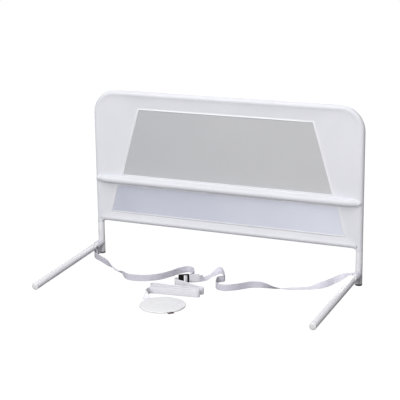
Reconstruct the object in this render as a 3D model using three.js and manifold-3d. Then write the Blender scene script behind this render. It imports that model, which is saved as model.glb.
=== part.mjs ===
// Folding guard rail for a bed: a fabric panel with two mesh windows on a bent tube frame,
// two arms that go under the mattress and fold up on pinned knuckles, and the webbing strap
// that ties the arms together and carries an adjustable tail with an anchor disc.
// Millimetres. X runs along the rail, the arms point to -Y, Z is up, the feet stand on Z = 0.
import * as THREE from 'three';
import { mergeVertices } from 'three/addons/utils/BufferGeometryUtils.js';
import Module from 'manifold-3d';

const wasm = await Module();
wasm.setup();

// Driving sizes of the whole rail
const railSpan = 1065;
const railHeight = 660;
const bendRadius = 80;
const seatGap = 0.3;
const cutOverrun = 4;
const roundSides = 24;
const slimSides = 16;

// Tube frame and its fabric sleeve
const frameDiameter = 22;
const frameWall = 1.4;
const clothThickness = 1;
const bendSteps = 8;

// Lower posts, with the frame's legs let into them
const postDiameter = 25.4;
const postWall = 1.3;
const postTop = 130;
const legInsertion = 60;
const sleeveStandoff = 1.3;
const postScrewDrop = 28;

// Foot caps
const footFlangeHeight = 6;
const footFlangeOverhang = 0.5;
const footSpigotLength = 16;
const footEdge = 1.2;

// Middle bar, which crosses in front of the frame's legs on flattened ends
const midBarDiameter = 25.4;
const midBarWall = 1.3;
const midBarHeight = 308.5;
const midBarStandoff = 15;
const flatHalfThickness = 1.9;
const flatHalfHeight = 11;
const flatEndHalfHeight = 6.5;
const flatSlit = 0.5;
const flatLength = 15;
const flatNose = 3.5;
const squashLength = 20;
const flatPastLeg = 5;
const midHemHeight = 21.5;
const midSleeveNose = 2.5;

// Bottom bar, which butts on the legs with a plug and a screw
const bottomBarHeight = 150.5;
const plugFlange = 3;
const plugSpigot = 18;

// Fabric panel and its mesh windows
const upperTopBand = 69;
const upperTopInset = 181.5;
const upperHemInset = 104.5;
const lowerTopDrop = 20.5;
const lowerTopInset = 83;
const lowerBottomRise = 30.5;
const lowerBottomInset = 53.5;
const meshThickness = 0.6;

// Screws
const screwHeadRadius = 4.4;
const screwHeadHeight = 2.2;
const screwRadius = 2.1;
const screwHoleGap = 0.3;
const screwGrip = 4;
const screwCrown = 0.55;

// Arms: a fixed stub, a fork and tongue knuckle on a pin, and a capped tube
const armHeight = 45;
const armLength = 503;
const armDiameter = 25.4;
const armWall = 1.3;
const stubLength = 44;
const pivotDistance = 62;
const shoulderReach = 14.9;
const slotWidth = 12;
const slotFloorGap = 2;
const forkSpigot = 18;
const collarLength = 5;
const knuckleSpigot = 20;
const pinRadius = 3;
const pinHeadRadius = 5;
const pinHeadHeight = 1.5;
const pinHeadCrown = 0.5;
const spotFaceDepth = 1;
const capFlange = 2.5;
const capOverhang = 0.3;
const capDome = 3;
const capSpigot = 20;
const arcSteps = 10;

// Webbing
const webbingWidth = 25;
const webbingThickness = 1.6;
const webbingLift = 0.15;
const selvedge = 0.4;
const loopStart = 17;
const loopTailWidth = 3.4;

// Tab, buckle and where they stand
const buckleX = -66;
const buckleY = -223;
const buckleHeading = 36;
const buckleLength = 40;
const buckleHeight = 34;
const buckleThickness = 4;
const buckleCorner = 3;
const buckleBar = 4;
const buckleEndBar = 6;
const buckleSlot = 5;
const buckleLift = 0.3;
const buckleSlotHeight = 25.4;
const buckleLipRise = 10;
const buckleLipFoot = 3.7;
const tabHeight = 31;
const tabPly = 1.5;
const tabSleeveLength = 29;
const tabBridge = 9;
const tabRoom = 0.4;

// Hank of the tail strap: zigzag layers on edge, fanned out towards their left folds
const hankLayers = 3;
const hankFoldSteps = 6;
const hankRunSteps = 4;
const hankRightX = 44;
const hankLeftX = -132;
const hankEndX = -120;
const hankRightY = -318;
const hankLeftY = -326;
const hankRightSpacing = 17;
const hankLeftSpacing = 24;

// Anchor disc and its tag
const discX = -28;
const discY = -477;
const discDiameter = 162;
const discHeight = 5.6;
const discPlate = 2.4;
const discSkirt = 2.2;
const discEdge = 0.8;
const discCrown = 1.6;
const discRingRadius = 52;
const discRingWidth = 3;
const discRingHeight = 0.6;
const discBossRadius = 15;
const discSides = 48;
const discLift = 0.1;
const strapNotchHeading = 152.5;
const notchRoom = 1;
const tagWidth = 23;
const tagLength = 26;
const tagThickness = 1.2;
const tagProud = 9;
const tagHeading = -44;

// Route of the main strap: x, y, twist in degrees from standing on edge, rise off the floor
const mainRoute = [
  [-534, -42.6, 0, 0], [-535, -53, 0, 0], [-530, -66, 0, 0], [-514, -84, 0, 0],
  [-490, -101, 0, 0], [-455, -126, 0, 0], [-425, -149, -6, 0], [-398, -169, -32, 0],
  [-372, -188, -60, 0], [-349, -206, -65, 0], [-328, -224, -54, 0], [-306, -247, -14, 0],
  [-278, -267, 0, 0], [-250, -271, 0, 0], [-225, -266, 0, 0], [-196, -252, 0, 0],
  [-165, -222, 0, 0], [-143, -176, 0, 0], [-126, -126, 0, 0], [-104, -100, 0, 0],
  [-78, -112, 0, 0], [-63, -142, 0, 0], [-57, -172, 0, 0], [-57, -192, 0, 0],
  [-53.6, -201.2, 0, 0], [-49.2, -205.6, 0, 0], [-44.5, -206.6, 0, 0], [-41.7, -205.4, 0, 0],
  [-18.4, -188.4, 0, 0], [-11.5, -180, 8, 0], [-9, -166, 45, 0], [-11, -146, 82, 0],
  [-11, -122, 90, 0], [-6, -98, 90, 0], [1, -78, 62, 0], [9, -68, 18, 0],
  [19, -69, 0, 0], [33, -87, 0, 0], [50, -116, 0, 0], [63, -142, 0, 0],
  [64, -153, 0, 0], [56, -161, 0, 0], [49, -170, 0, 0], [50, -186, 0, 0],
  [58, -212, 0, 0], [68, -234, 0, 0], [84, -247, 0, 0], [109, -249, 0, 0],
  [139, -229, 0, 0], [160, -205, 0, 0], [181, -181, 0, 0], [208, -168, -5, 0],
  [238, -167, -25, 0], [268, -166, -55, 0], [296, -154, -76, 0], [318, -137, -88, 0],
  [347, -121, -90, 0], [388, -100, -100, 0], [424, -74, -146, 0], [452, -46, -158, 9],
  [480, -31, -135, 25], [504, -29, -100, 43], [518.6, -29.5, -90, 49.5],
];

// Route of the tail between the buckle and the hank, and from the hank to the disc
const leadRoute = [
  [-82.5, -235, 0, 0], [-88.5, -240.5, 0, 0], [-90, -251, 0, 0], [-79, -261, 0, 0],
  [-56, -267, 0, 0], [-28, -277, 0, 0], [6, -290, 0, 0], [28, -298, 0, 0],
  [43.7, -301, 0, 0],
];
const runRoute = [
  [-120.3, -372.8, 0, 0], [-127, -375, 0, 0], [-131, -383, 0, 0], [-131, -398, 0, 0],
  [-129, -412, 10, 0], [-122, -425.5, 55, 0], [-112, -433.3, 88, 0], [-94.5, -442.3, 90, 0],
  [-59.9, -460.4, 90, 0], [-28, -477, 90, 0],
];

// Finishes
const whitePaint = { color: 0xf2f1f4, roughness: 0.38, metalness: 0.1 };
const whiteCloth = { color: 0xe9eaee, roughness: 0.85, metalness: 0 };
const upperNet = { color: 0xc4c5c9, roughness: 0.9, metalness: 0 };
const lowerNet = { color: 0xc8cad6, roughness: 0.9, metalness: 0 };
const webbing = { color: 0xe6e5ea, roughness: 0.8, metalness: 0 };
const whitePlastic = { color: 0xf1f1f2, roughness: 0.45, metalness: 0 };
const greyPlastic = { color: 0x5b5b60, roughness: 0.6, metalness: 0 };
const blackPlastic = { color: 0x141318, roughness: 0.4, metalness: 0 };
const zincSteel = { color: 0x8f8e92, roughness: 0.4, metalness: 0.8 };
const redCloth = { color: 0x521824, roughness: 0.85, metalness: 0 };

// Sizes that follow from the ones above
const halfSpan = railSpan / 2;
const frameRadius = frameDiameter / 2;
const sleeveInner = frameRadius + seatGap;
const sleeveOuter = sleeveInner + clothThickness;
const frameTop = railHeight - sleeveOuter;
const legBottom = postTop - legInsertion;
const postRadius = postDiameter / 2;
const armRadius = armDiameter / 2;
const armBore = armRadius - armWall;
const spigotRadius = armBore - seatGap;
const capRadius = armRadius + capOverhang;
const armDroop = Math.asin(armHeight / Math.hypot(armLength, capRadius))
  - Math.atan(capRadius / armLength);
const midBarRadius = midBarDiameter / 2;
const degree = Math.PI / 180;

const rail = new THREE.Group();

// Adds one named piece to a group
function piece(group, name, geometry, finish) {
  const mesh = new THREE.Mesh(geometry, new THREE.MeshStandardMaterial(finish));
  mesh.name = name;
  group.add(mesh);
  return mesh;
}

// Turns a closed three.js geometry into a solid that can be cut and joined
function solid(geometry) {
  const bare = geometry.clone();
  bare.deleteAttribute('normal');
  bare.deleteAttribute('uv');
  const merged = mergeVertices(bare);
  return new wasm.Manifold(new wasm.Mesh({
    numProp: 3,
    vertProperties: new Float32Array(merged.attributes.position.array),
    triVerts: new Uint32Array(merged.index.array),
  }));
}

// Turns a solid back into a geometry
function shape(body) {
  const mesh = body.getMesh();
  const geometry = new THREE.BufferGeometry();
  geometry.setAttribute('position', new THREE.BufferAttribute(mesh.vertProperties, 3));
  geometry.setIndex(new THREE.BufferAttribute(mesh.triVerts, 1));
  geometry.computeVertexNormals();
  return geometry;
}

// Points of a regular polygon whose corners lie on the circle
function roundPoints(radius, sides) {
  return Array.from({ length: sides }, (_, i) => {
    const angle = ((i + 0.5) / sides) * 2 * Math.PI;
    return new THREE.Vector2(radius * Math.cos(angle), radius * Math.sin(angle));
  });
}

// A round section, with a bore when an inner radius is given
function roundSection(outer, inner, sides) {
  const section = new THREE.Shape(roundPoints(outer, sides));
  if (inner) section.holes.push(new THREE.Path(roundPoints(inner, sides)));
  return section;
}

// A rectangle section with chamfered corners, centred on the origin
function flatSection(width, height, chamfer) {
  const x = width / 2;
  const y = height / 2;
  return new THREE.Shape([
    [x, chamfer - y], [x, y - chamfer], [x - chamfer, y], [chamfer - x, y],
    [-x, y - chamfer], [-x, chamfer - y], [chamfer - x, -y], [x - chamfer, -y],
  ].map(([a, b]) => new THREE.Vector2(a, b)));
}

// Straight prism of a section from one height to another along Z
function prism(section, from, to) {
  const geometry = new THREE.ExtrudeGeometry(section, { depth: to - from, bevelEnabled: false });
  return geometry.translate(0, 0, from);
}

// The same prism laid along -Y, as the arms lie, measured from the post's axis
function alongArm(section, from, to) {
  return prism(section, from, to).rotateX(Math.PI / 2);
}

// The same prism laid along +X
function alongRail(section, from, to) {
  return prism(section, from, to).rotateY(Math.PI / 2);
}

// A place on a route: where it is, which way it heads, which way its section's height points
function station(at, forward, up, wide = 1, high = 1) {
  const side = new THREE.Vector3().crossVectors(up, forward).normalize();
  return { at, side, up: up.clone().normalize(), wide, high };
}

// A section carried along stations: extruded straight with one step for each, then bent
function alongStations(section, stations) {
  const last = stations.length - 1;
  const options = { steps: last, depth: last, bevelEnabled: false };
  const geometry = new THREE.ExtrudeGeometry(section, options);
  const place = geometry.attributes.position;
  const point = new THREE.Vector3();
  for (let i = 0; i < place.count; i += 1) {
    const stop = stations[Math.round(place.getZ(i))];
    point.copy(stop.at)
      .addScaledVector(stop.side, place.getX(i) * stop.wide)
      .addScaledVector(stop.up, place.getY(i) * stop.high);
    place.setXYZ(i, point.x, point.y, point.z);
  }
  geometry.computeVertexNormals();
  return geometry;
}

// A revolved piece along +Z from its half profile of [radius, height] pairs
function revolved(profile, sides) {
  const points = profile.map(([radius, height]) => new THREE.Vector2(radius, height));
  return new THREE.LatheGeometry(points, sides).rotateX(Math.PI / 2);
}

// Stations of the inverted U that the frame's axis follows, from one leg's end to the other's
function frameStations(legEnd) {
  const up = new THREE.Vector3(0, 1, 0);
  const stations = [];
  for (const side of [-1, 1]) {
    const bend = [];
    for (let i = 0; i <= bendSteps; i += 1) {
      const angle = (i / bendSteps) * Math.PI / 2;
      const x = side * (halfSpan - bendRadius + bendRadius * Math.cos(angle));
      const z = frameTop - bendRadius + bendRadius * Math.sin(angle);
      const forward = new THREE.Vector3(Math.sin(angle), 0, -side * Math.cos(angle));
      bend.push(station(new THREE.Vector3(x, 0, z), forward, up));
    }
    const foot = new THREE.Vector3(side * halfSpan, 0, legEnd);
    bend.unshift(station(foot, new THREE.Vector3(0, 0, -side), up));
    stations.push(...(side < 0 ? bend : bend.reverse()));
  }
  return stations;
}

// Screw along +Z with its head's underside at zero
function screw(length) {
  return revolved([
    [0, screwHeadHeight], [screwHeadRadius - screwCrown, screwHeadHeight],
    [screwHeadRadius, screwHeadHeight - screwCrown], [screwHeadRadius, 0],
    [screwRadius, 0], [screwRadius, screwRadius - length],
    [0, -length],
  ].reverse(), slimSides);
}

// Cylinder for a screw's hole, centred on the origin along +Z
function screwHole(length) {
  const reach = length / 2 + cutOverrun;
  return prism(roundSection(screwRadius + screwHoleGap, 0, slimSides), -reach, reach);
}

// Bent tube of the frame, with the holes for its screws
function makeFrameTube() {
  const section = roundSection(frameRadius, frameRadius - frameWall, slimSides);
  let body = solid(alongStations(section, frameStations(legBottom)));
  for (const side of [-1, 1]) {
    const x = side * halfSpan;
    const back = screwHole(frameRadius).rotateX(Math.PI / 2)
      .translate(x, frameRadius, postTop - postScrewDrop);
    const front = screwHole(frameRadius).rotateX(Math.PI / 2)
      .translate(x, -frameRadius, midBarHeight);
    const inner = screwHole(frameRadius).rotateY(Math.PI / 2)
      .translate(x - side * frameRadius, 0, bottomBarHeight);
    const access = prism(roundSection(screwHeadRadius + seatGap, 0, slimSides), 0, frameDiameter)
      .rotateY(side * Math.PI / 2).translate(x, 0, bottomBarHeight);
    for (const cut of [back, front, inner, access]) body = body.subtract(solid(cut));
  }
  piece(rail, 'frame_tube', shape(body), whitePaint);
}

// Fabric sleeve over the frame, open where the bars meet the legs
function makeFrameSleeve() {
  const section = roundSection(sleeveOuter, sleeveInner, slimSides);
  let body = solid(alongStations(section, frameStations(postTop + sleeveStandoff)));
  for (const side of [-1, 1]) {
    const x = side * halfSpan;
    const mouth = prism(roundSection(sleeveInner, 0, slimSides), 0, sleeveOuter + cutOverrun)
      .rotateY(-side * Math.PI / 2).translate(x, 0, bottomBarHeight);
    const hole = screwHole(clothThickness).rotateX(Math.PI / 2)
      .translate(x, -sleeveOuter, midBarHeight);
    for (const cut of [mouth, hole]) body = body.subtract(solid(cut));
  }
  piece(rail, 'frame_sleeve', shape(body), whiteCloth);
}

// Four corners of a window from the insets of its top and bottom corners off the legs
function windowPoints(top, topInset, bottom, bottomInset, border) {
  const lean = (topInset - bottomInset) / (top - bottom);
  const halfAt = (z) => halfSpan - topInset + (top - z) * lean - border * Math.hypot(1, lean);
  const high = top - border;
  const low = bottom + border;
  return [
    [-halfAt(low), low], [halfAt(low), low], [halfAt(high), high], [-halfAt(high), high],
  ].map(([x, z]) => new THREE.Vector2(x, z));
}

// Both windows' corners, drawn in by a border where the mesh is let into them
const upperWindow = (border) => windowPoints(
  railHeight - upperTopBand, upperTopInset, midBarHeight + midHemHeight, upperHemInset, border,
);
const lowerWindow = (border) => windowPoints(
  midBarHeight - lowerTopDrop, lowerTopInset, bottomBarHeight + lowerBottomRise,
  lowerBottomInset, border,
);

// Plate that stands in the frame's plane, from its outline in X and Z
function standing(section, thickness) {
  return prism(section, -thickness / 2, thickness / 2).rotateX(Math.PI / 2);
}

// Fabric panel between the frame's legs, with its two windows
function makePanel() {
  const reach = sleeveOuter + seatGap;
  const x = halfSpan - reach;
  const top = frameTop - reach;
  const corner = bendRadius - reach;
  const low = bottomBarHeight + reach;
  const outline = new THREE.Shape();
  outline.moveTo(-x, low);
  outline.lineTo(x, low);
  outline.lineTo(x, top - corner);
  outline.absarc(x - corner, top - corner, corner, 0, Math.PI / 2, false);
  outline.lineTo(corner - x, top);
  outline.absarc(corner - x, top - corner, corner, Math.PI / 2, Math.PI, false);
  outline.lineTo(-x, low);
  for (const points of [upperWindow(0), lowerWindow(0)]) {
    outline.holes.push(new THREE.Path(points));
  }
  piece(rail, 'fabric_panel', standing(outline, clothThickness), whiteCloth);
  const upper = new THREE.Shape(upperWindow(seatGap));
  const lower = new THREE.Shape(lowerWindow(seatGap));
  piece(rail, 'upper_mesh', standing(upper, meshThickness), upperNet);
  piece(rail, 'lower_mesh', standing(lower, meshThickness), lowerNet);
}

// Stations of the middle bar: round, squashed towards its ends, flat, and rounded at the tip
function midBarStations(past) {
  const up = new THREE.Vector3(0, 0, 1);
  const tip = halfSpan + flatPastLeg + past;
  const stops = [
    [tip, 'tip'], [tip - flatNose, 'flat'], [tip - flatNose - flatLength, 'flat'],
    [tip - flatNose - flatLength - squashLength / 2, 'waist'],
    [tip - flatNose - flatLength - squashLength, 'round'],
  ];
  const all = [...stops.map(([x, kind]) => [-x, kind]), ...stops.reverse()];
  return { up, all };
}

// One skin of the middle bar, at a distance outside its own skin and past its own ends
function midBarSkin(offset, past) {
  const { up, all } = midBarStations(past);
  const forward = new THREE.Vector3(1, 0, 0);
  const radius = midBarRadius + offset;
  const sizes = {
    round: [1, 1],
    waist: [
      (midBarRadius + flatHalfThickness + 2 * offset) / 2 / radius,
      (midBarRadius + flatHalfHeight + 2 * offset) / 2 / radius,
    ],
    flat: [(flatHalfThickness + offset) / radius, (flatHalfHeight + offset) / radius],
    tip: [(flatHalfThickness + offset) / radius, (flatEndHalfHeight + offset) / radius],
  };
  const stations = all.map(([x, kind]) => station(
    new THREE.Vector3(x, -midBarStandoff, midBarHeight), forward, up, ...sizes[kind],
  ));
  return alongStations(roundSection(radius, 0, slimSides), stations);
}

// Bore of the middle bar, which narrows to a slit in the flattened ends
function midBarBore() {
  const { up, all } = midBarStations(cutOverrun);
  const forward = new THREE.Vector3(1, 0, 0);
  const radius = midBarRadius - midBarWall;
  const slit = [flatSlit / radius, (flatHalfHeight - midBarWall) / radius];
  const sizes = {
    round: [1, 1],
    waist: [(radius + flatSlit) / 2 / radius, (radius + flatHalfHeight - midBarWall) / 2 / radius],
    flat: slit,
    tip: [slit[0], (flatEndHalfHeight - midBarWall) / radius],
  };
  const stations = all.map(([x, kind]) => station(
    new THREE.Vector3(x, -midBarStandoff, midBarHeight), forward, up, ...sizes[kind],
  ));
  return alongStations(roundSection(radius, 0, slimSides), stations);
}

// Middle bar, a tube whose flattened ends are screwed to the front of the legs
function makeMidBar() {
  let body = solid(midBarSkin(0, 0)).subtract(solid(midBarBore()));
  const seat = -midBarStandoff - flatHalfThickness - seatGap;
  const length = midBarStandoff + flatHalfThickness - frameRadius + frameWall + screwGrip;
  for (const [side, hand] of [[-1, 'left'], [1, 'right']]) {
    const hole = screwHole(flatHalfThickness).rotateX(Math.PI / 2)
      .translate(side * halfSpan, -midBarStandoff, midBarHeight);
    body = body.subtract(solid(hole));
    const fixing = screw(length).rotateX(Math.PI / 2);
    piece(rail, `mid_bar_screw_${hand}`, fixing, zincSteel)
      .position.set(side * halfSpan, seat, midBarHeight);
  }
  piece(rail, 'mid_bar', shape(body), whitePaint);
}

// Half outline of the middle sleeve's section: flat back on the panel, bulge over the bar
function midSleeveSection(grow, hem) {
  const back = clothThickness / 2 + seatGap - (grow ? 0 : cutOverrun);
  const radius = midBarRadius + seatGap + grow;
  const points = [new THREE.Vector2(back, -radius)];
  for (let i = 0; i <= arcSteps; i += 1) {
    const angle = (i / arcSteps - 0.5) * Math.PI;
    points.push(new THREE.Vector2(
      midBarStandoff + radius * Math.cos(angle), radius * Math.sin(angle),
    ));
  }
  if (hem) {
    points.push(new THREE.Vector2(back + clothThickness + grow, radius + clothThickness));
    points.push(new THREE.Vector2(back + clothThickness, midHemHeight));
    points.push(new THREE.Vector2(back, midHemHeight));
  } else {
    points.push(new THREE.Vector2(back, radius));
  }
  return new THREE.Shape(points);
}

// Carries a section of the middle sleeve along the bar, drawn in over the flattened ends
function midSleeveSkin(section, past, screwRoom) {
  const up = new THREE.Vector3(0, 0, 1);
  const forward = new THREE.Vector3(-1, 0, 0);
  const tip = halfSpan + flatPastLeg + past;
  const flatFront = midBarStandoff + flatHalfThickness + screwRoom;
  const flatWide = flatFront / (midBarStandoff + midBarRadius);
  const squashed = tip - flatLength - flatNose;
  const stops = [
    [tip, flatWide], [squashed, flatWide],
    [squashed - squashLength, 1],
  ];
  const all = [...stops, ...stops.map(([x, wide]) => [-x, wide]).reverse()];
  const stations = all.map(([x, wide]) => station(
    new THREE.Vector3(x, 0, midBarHeight), forward, up, wide, 1,
  ));
  return alongStations(section, stations);
}

// Fabric sleeve sewn on the front of the panel over the middle bar
function makeMidSleeve() {
  const room = seatGap + screwHeadHeight + seatGap;
  const outer = midSleeveSkin(midSleeveSection(clothThickness, true), midSleeveNose, room + clothThickness);
  const inner = midSleeveSkin(midSleeveSection(0, false), midSleeveNose - clothThickness, room);
  let body = solid(outer).subtract(solid(inner));
  for (const side of [-1, 1]) {
    const leg = prism(roundSection(sleeveOuter + seatGap, 0, slimSides), 0, railHeight);
    body = body.subtract(solid(leg.translate(side * halfSpan, 0, 0)));
  }
  piece(rail, 'mid_bar_sleeve', shape(body), whiteCloth);
}

// Bottom bar with the plugs and screws that hold it between the legs
function makeBottomBar() {
  const end = halfSpan - frameRadius - seatGap - plugFlange - seatGap;
  const bore = frameRadius - frameWall;
  const leg = prism(roundSection(frameRadius + seatGap, 0, slimSides), 0, railHeight);
  const bar = alongRail(roundSection(frameRadius, bore, slimSides), -end, end);
  piece(rail, 'bottom_bar', bar, whitePaint).position.z = bottomBarHeight;
  for (const [side, hand] of [[-1, 'left'], [1, 'right']]) {
    const flange = prism(roundSection(frameRadius, 0, slimSides), end + seatGap, halfSpan);
    const spigot = prism(roundSection(bore - seatGap, 0, slimSides), end - plugSpigot, halfSpan);
    const pilot = prism(
      roundSection(screwRadius + screwHoleGap, 0, slimSides), end - plugSpigot - cutOverrun, halfSpan,
    );
    const turned = [flange, spigot, pilot].map((g) => solid(
      g.rotateY(side * Math.PI / 2).translate(0, 0, bottomBarHeight),
    ));
    const post = solid(leg.clone().translate(side * halfSpan, 0, 0));
    const plug = turned[0].add(turned[1]).subtract(turned[2]).subtract(post);
    piece(rail, `bottom_bar_plug_${hand}`, shape(plug), greyPlastic);
    const fixing = screw(frameWall + plugFlange + 2 * screwGrip).rotateY(side * Math.PI / 2);
    const seat = Math.sqrt((bore * Math.cos(Math.PI / slimSides)) ** 2 - screwHeadRadius ** 2);
    piece(rail, `bottom_bar_screw_${hand}`, fixing, zincSteel)
      .position.set(side * (halfSpan - seat + seatGap), 0, bottomBarHeight);
  }
}

// Fabric hem round the bottom bar, cut to the legs' sleeves
function makeBottomSleeve() {
  const hem = alongRail(roundSection(sleeveOuter, sleeveInner, slimSides), -halfSpan, halfSpan);
  let body = solid(hem.translate(0, 0, bottomBarHeight));
  for (const side of [-1, 1]) {
    const leg = prism(roundSection(sleeveOuter + seatGap, 0, slimSides), 0, railHeight);
    body = body.subtract(solid(leg.translate(side * halfSpan, 0, 0)));
  }
  piece(rail, 'bottom_bar_sleeve', shape(body), whiteCloth);
}

// Lower post, its foot cap, and the screw that holds the frame's leg in it
function makePost(side, hand) {
  const bore = postRadius - postWall;
  const tube = solid(prism(roundSection(postRadius, bore, roundSides), footFlangeHeight + seatGap, postTop));
  const hole = screwHole(postRadius).rotateX(Math.PI / 2)
    .translate(0, postRadius, postTop - postScrewDrop);
  const post = piece(rail, `lower_post_${hand}`, shape(tube.subtract(solid(hole))), whitePaint);
  post.position.x = side * halfSpan;
  const flange = postRadius + footFlangeOverhang;
  const spigot = bore - seatGap;
  const spigotTop = footFlangeHeight + footSpigotLength;
  const cap = revolved([
    [0, 0], [flange - footEdge, 0], [flange, footEdge], [flange, footFlangeHeight],
    [spigot, footFlangeHeight], [spigot, spigotTop - footEdge], [spigot - footEdge, spigotTop],
    [0, spigotTop],
  ], roundSides);
  piece(rail, `foot_cap_${hand}`, cap, greyPlastic).position.x = side * halfSpan;
  const fixing = screw(postWall + frameWall + screwGrip).rotateX(-Math.PI / 2);
  piece(rail, `post_screw_${hand}`, fixing, zincSteel)
    .position.set(side * halfSpan, postRadius + seatGap, postTop - postScrewDrop);
}

// Fixed stub of an arm, coped to the post
function makeStub(arm, hand) {
  const tube = solid(alongArm(roundSection(armRadius, armBore, roundSides), armWall, stubLength));
  const post = prism(roundSection(postRadius + seatGap, 0, roundSides), -railHeight, railHeight);
  const body = tube.subtract(solid(post.rotateX(-armDroop)));
  piece(arm, `arm_stub_${hand}`, shape(body), whitePaint);
}

// Side outline of the fork's cheeks: rounded over the top, square below where the arm stops
function cheekOutline(start) {
  const outline = new THREE.Shape();
  outline.moveTo(start, -armRadius);
  outline.lineTo(pivotDistance + shoulderReach - seatGap, -armRadius);
  outline.lineTo(pivotDistance + shoulderReach - seatGap, 0);
  for (let i = 0; i <= arcSteps; i += 1) {
    const angle = (i / arcSteps) * Math.PI / 2;
    outline.lineTo(
      pivotDistance + armRadius * Math.cos(angle), armRadius * Math.sin(angle),
    );
  }
  outline.lineTo(start, armRadius);
  return outline;
}

// Extrudes a side outline of distance and height across the arm, centred on it
function acrossArm(outline, width) {
  return prism(outline, -width / 2, width / 2).rotateX(Math.PI / 2).rotateZ(-Math.PI / 2);
}

// Pin bore across the knuckle
function pinBore() {
  return solid(alongRail(
    roundSection(pinRadius + seatGap, 0, slimSides), -armDiameter, armDiameter,
  ).translate(0, -pivotDistance, 0));
}

// Fork fixed in the stub: two cheeks with a slot between them
function makeFork(arm, hand) {
  const start = stubLength + seatGap;
  const barrel = solid(alongArm(
    roundSection(armRadius, 0, roundSides), start, pivotDistance + armDiameter,
  ));
  const cheeks = barrel.intersect(solid(acrossArm(cheekOutline(start), armDiameter)));
  const slotFloor = pivotDistance - armRadius - slotFloorGap;
  const slotLength = armDiameter + cutOverrun;
  const slot = new THREE.BoxGeometry(slotWidth, slotLength, armDiameter)
    .translate(0, -slotFloor - slotLength / 2, 0);
  let body = cheeks.subtract(solid(slot)).subtract(pinBore());
  const spotStart = armRadius - spotFaceDepth;
  for (const side of [-1, 1]) {
    const spot = prism(
      roundSection(pinHeadRadius + seatGap, 0, slimSides), spotStart, spotStart + cutOverrun,
    ).rotateY(side * Math.PI / 2).translate(0, -pivotDistance, 0);
    body = body.subtract(solid(spot));
  }
  const spigot = solid(alongArm(
    roundSection(spigotRadius, 0, roundSides), start - forkSpigot, start + seatGap,
  ));
  piece(arm, `hinge_fork_${hand}`, shape(body.add(spigot)), whitePlastic);
}

// Pin with a head in each cheek's spot face
function makePin(arm, hand) {
  const seat = armRadius - spotFaceDepth + seatGap;
  const tip = seat + pinHeadHeight;
  const pin = revolved([
    [0, -tip], [pinHeadRadius - pinHeadCrown, -tip], [pinHeadRadius, pinHeadCrown - tip],
    [pinHeadRadius, -seat], [pinRadius, -seat], [pinRadius, seat],
    [pinHeadRadius, seat], [pinHeadRadius, tip - pinHeadCrown],
    [pinHeadRadius - pinHeadCrown, tip], [0, tip],
  ], slimSides).rotateY(Math.PI / 2);
  piece(arm, `hinge_pin_${hand}`, pin, zincSteel).position.y = -pivotDistance;
}

// Side outline of the tongue: round about the pin, straight to the collar
function tongueOutline(radius, shoulder) {
  const outline = new THREE.Shape();
  outline.moveTo(shoulder, -radius);
  outline.lineTo(shoulder, radius);
  for (let i = 0; i <= 2 * arcSteps; i += 1) {
    const angle = Math.PI / 2 + (i / (2 * arcSteps)) * Math.PI;
    outline.lineTo(pivotDistance + radius * Math.cos(angle), radius * Math.sin(angle));
  }
  return outline;
}

// Folding half of an arm: the knuckle's tongue, the tube and its end cap
function makeFoldingArm(arm, hand) {
  const shoulder = pivotDistance + shoulderReach;
  const collarEnd = shoulder + collarLength;
  const tongueSide = tongueOutline(armRadius - seatGap, shoulder + collarLength / 2);
  const barrel = solid(alongArm(
    roundSection(armRadius, 0, roundSides), pivotDistance - armDiameter, collarEnd,
  ));
  const tongue = solid(acrossArm(tongueSide, slotWidth - 2 * seatGap)).intersect(barrel);
  const collar = solid(alongArm(roundSection(armRadius, 0, roundSides), shoulder, collarEnd));
  const spigot = solid(alongArm(
    roundSection(spigotRadius, 0, roundSides), shoulder, collarEnd + knuckleSpigot,
  ));
  const knuckle = tongue.add(collar).add(spigot).subtract(pinBore());
  piece(arm, `arm_knuckle_${hand}`, shape(knuckle), whitePlastic);

  const tubeEnd = armLength - capFlange - seatGap;
  const tube = alongArm(roundSection(armRadius, armBore, roundSides), collarEnd + seatGap, tubeEnd);
  piece(arm, `arm_tube_${hand}`, tube, whitePaint);

  const flange = armLength - capFlange;
  const cap = revolved([
    [0, flange - capSpigot], [spigotRadius - capFlange / 2, flange - capSpigot],
    [spigotRadius, flange - capSpigot + capFlange], [spigotRadius, flange],
    [capRadius, flange], [capRadius, armLength],
    [capRadius * Math.cos(Math.PI / 6), armLength + capDome / 2],
    [capRadius / 2, armLength + capDome * Math.cos(Math.PI / 6)], [0, armLength + capDome],
  ], roundSides).rotateX(Math.PI / 2);
  piece(arm, `arm_cap_${hand}`, cap, whitePlastic);
}

// Webbing loop round the stub; the left one has a stitched tail that hangs to the floor
function makeLoop(arm, hand, tail) {
  const inner = armRadius + seatGap;
  const outer = inner + webbingThickness;
  const end = loopStart + webbingWidth;
  let body = solid(alongArm(roundSection(outer, inner, roundSides), loopStart, end));
  if (tail) {
    const drop = (armHeight - end * Math.sin(armDroop)) / Math.cos(armDroop) - 2 * seatGap;
    const length = drop - inner - webbingThickness / 2;
    const ply = new THREE.BoxGeometry(loopTailWidth, webbingWidth, length)
      .translate(0, -loopStart - webbingWidth / 2, -drop + length / 2);
    body = body.add(solid(ply));
  }
  piece(arm, `strap_loop_${hand}`, shape(body), webbing);
}

// One arm with what is fixed and what folds, sloped so that its cap stands on the floor
function makeArm(side, hand) {
  const arm = new THREE.Group();
  arm.position.set(side * halfSpan, 0, armHeight);
  arm.rotation.x = armDroop;
  makeStub(arm, hand);
  makeFork(arm, hand);
  makePin(arm, hand);
  makeFoldingArm(arm, hand);
  makeLoop(arm, hand, side < 0);
  rail.add(arm);
}

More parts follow.
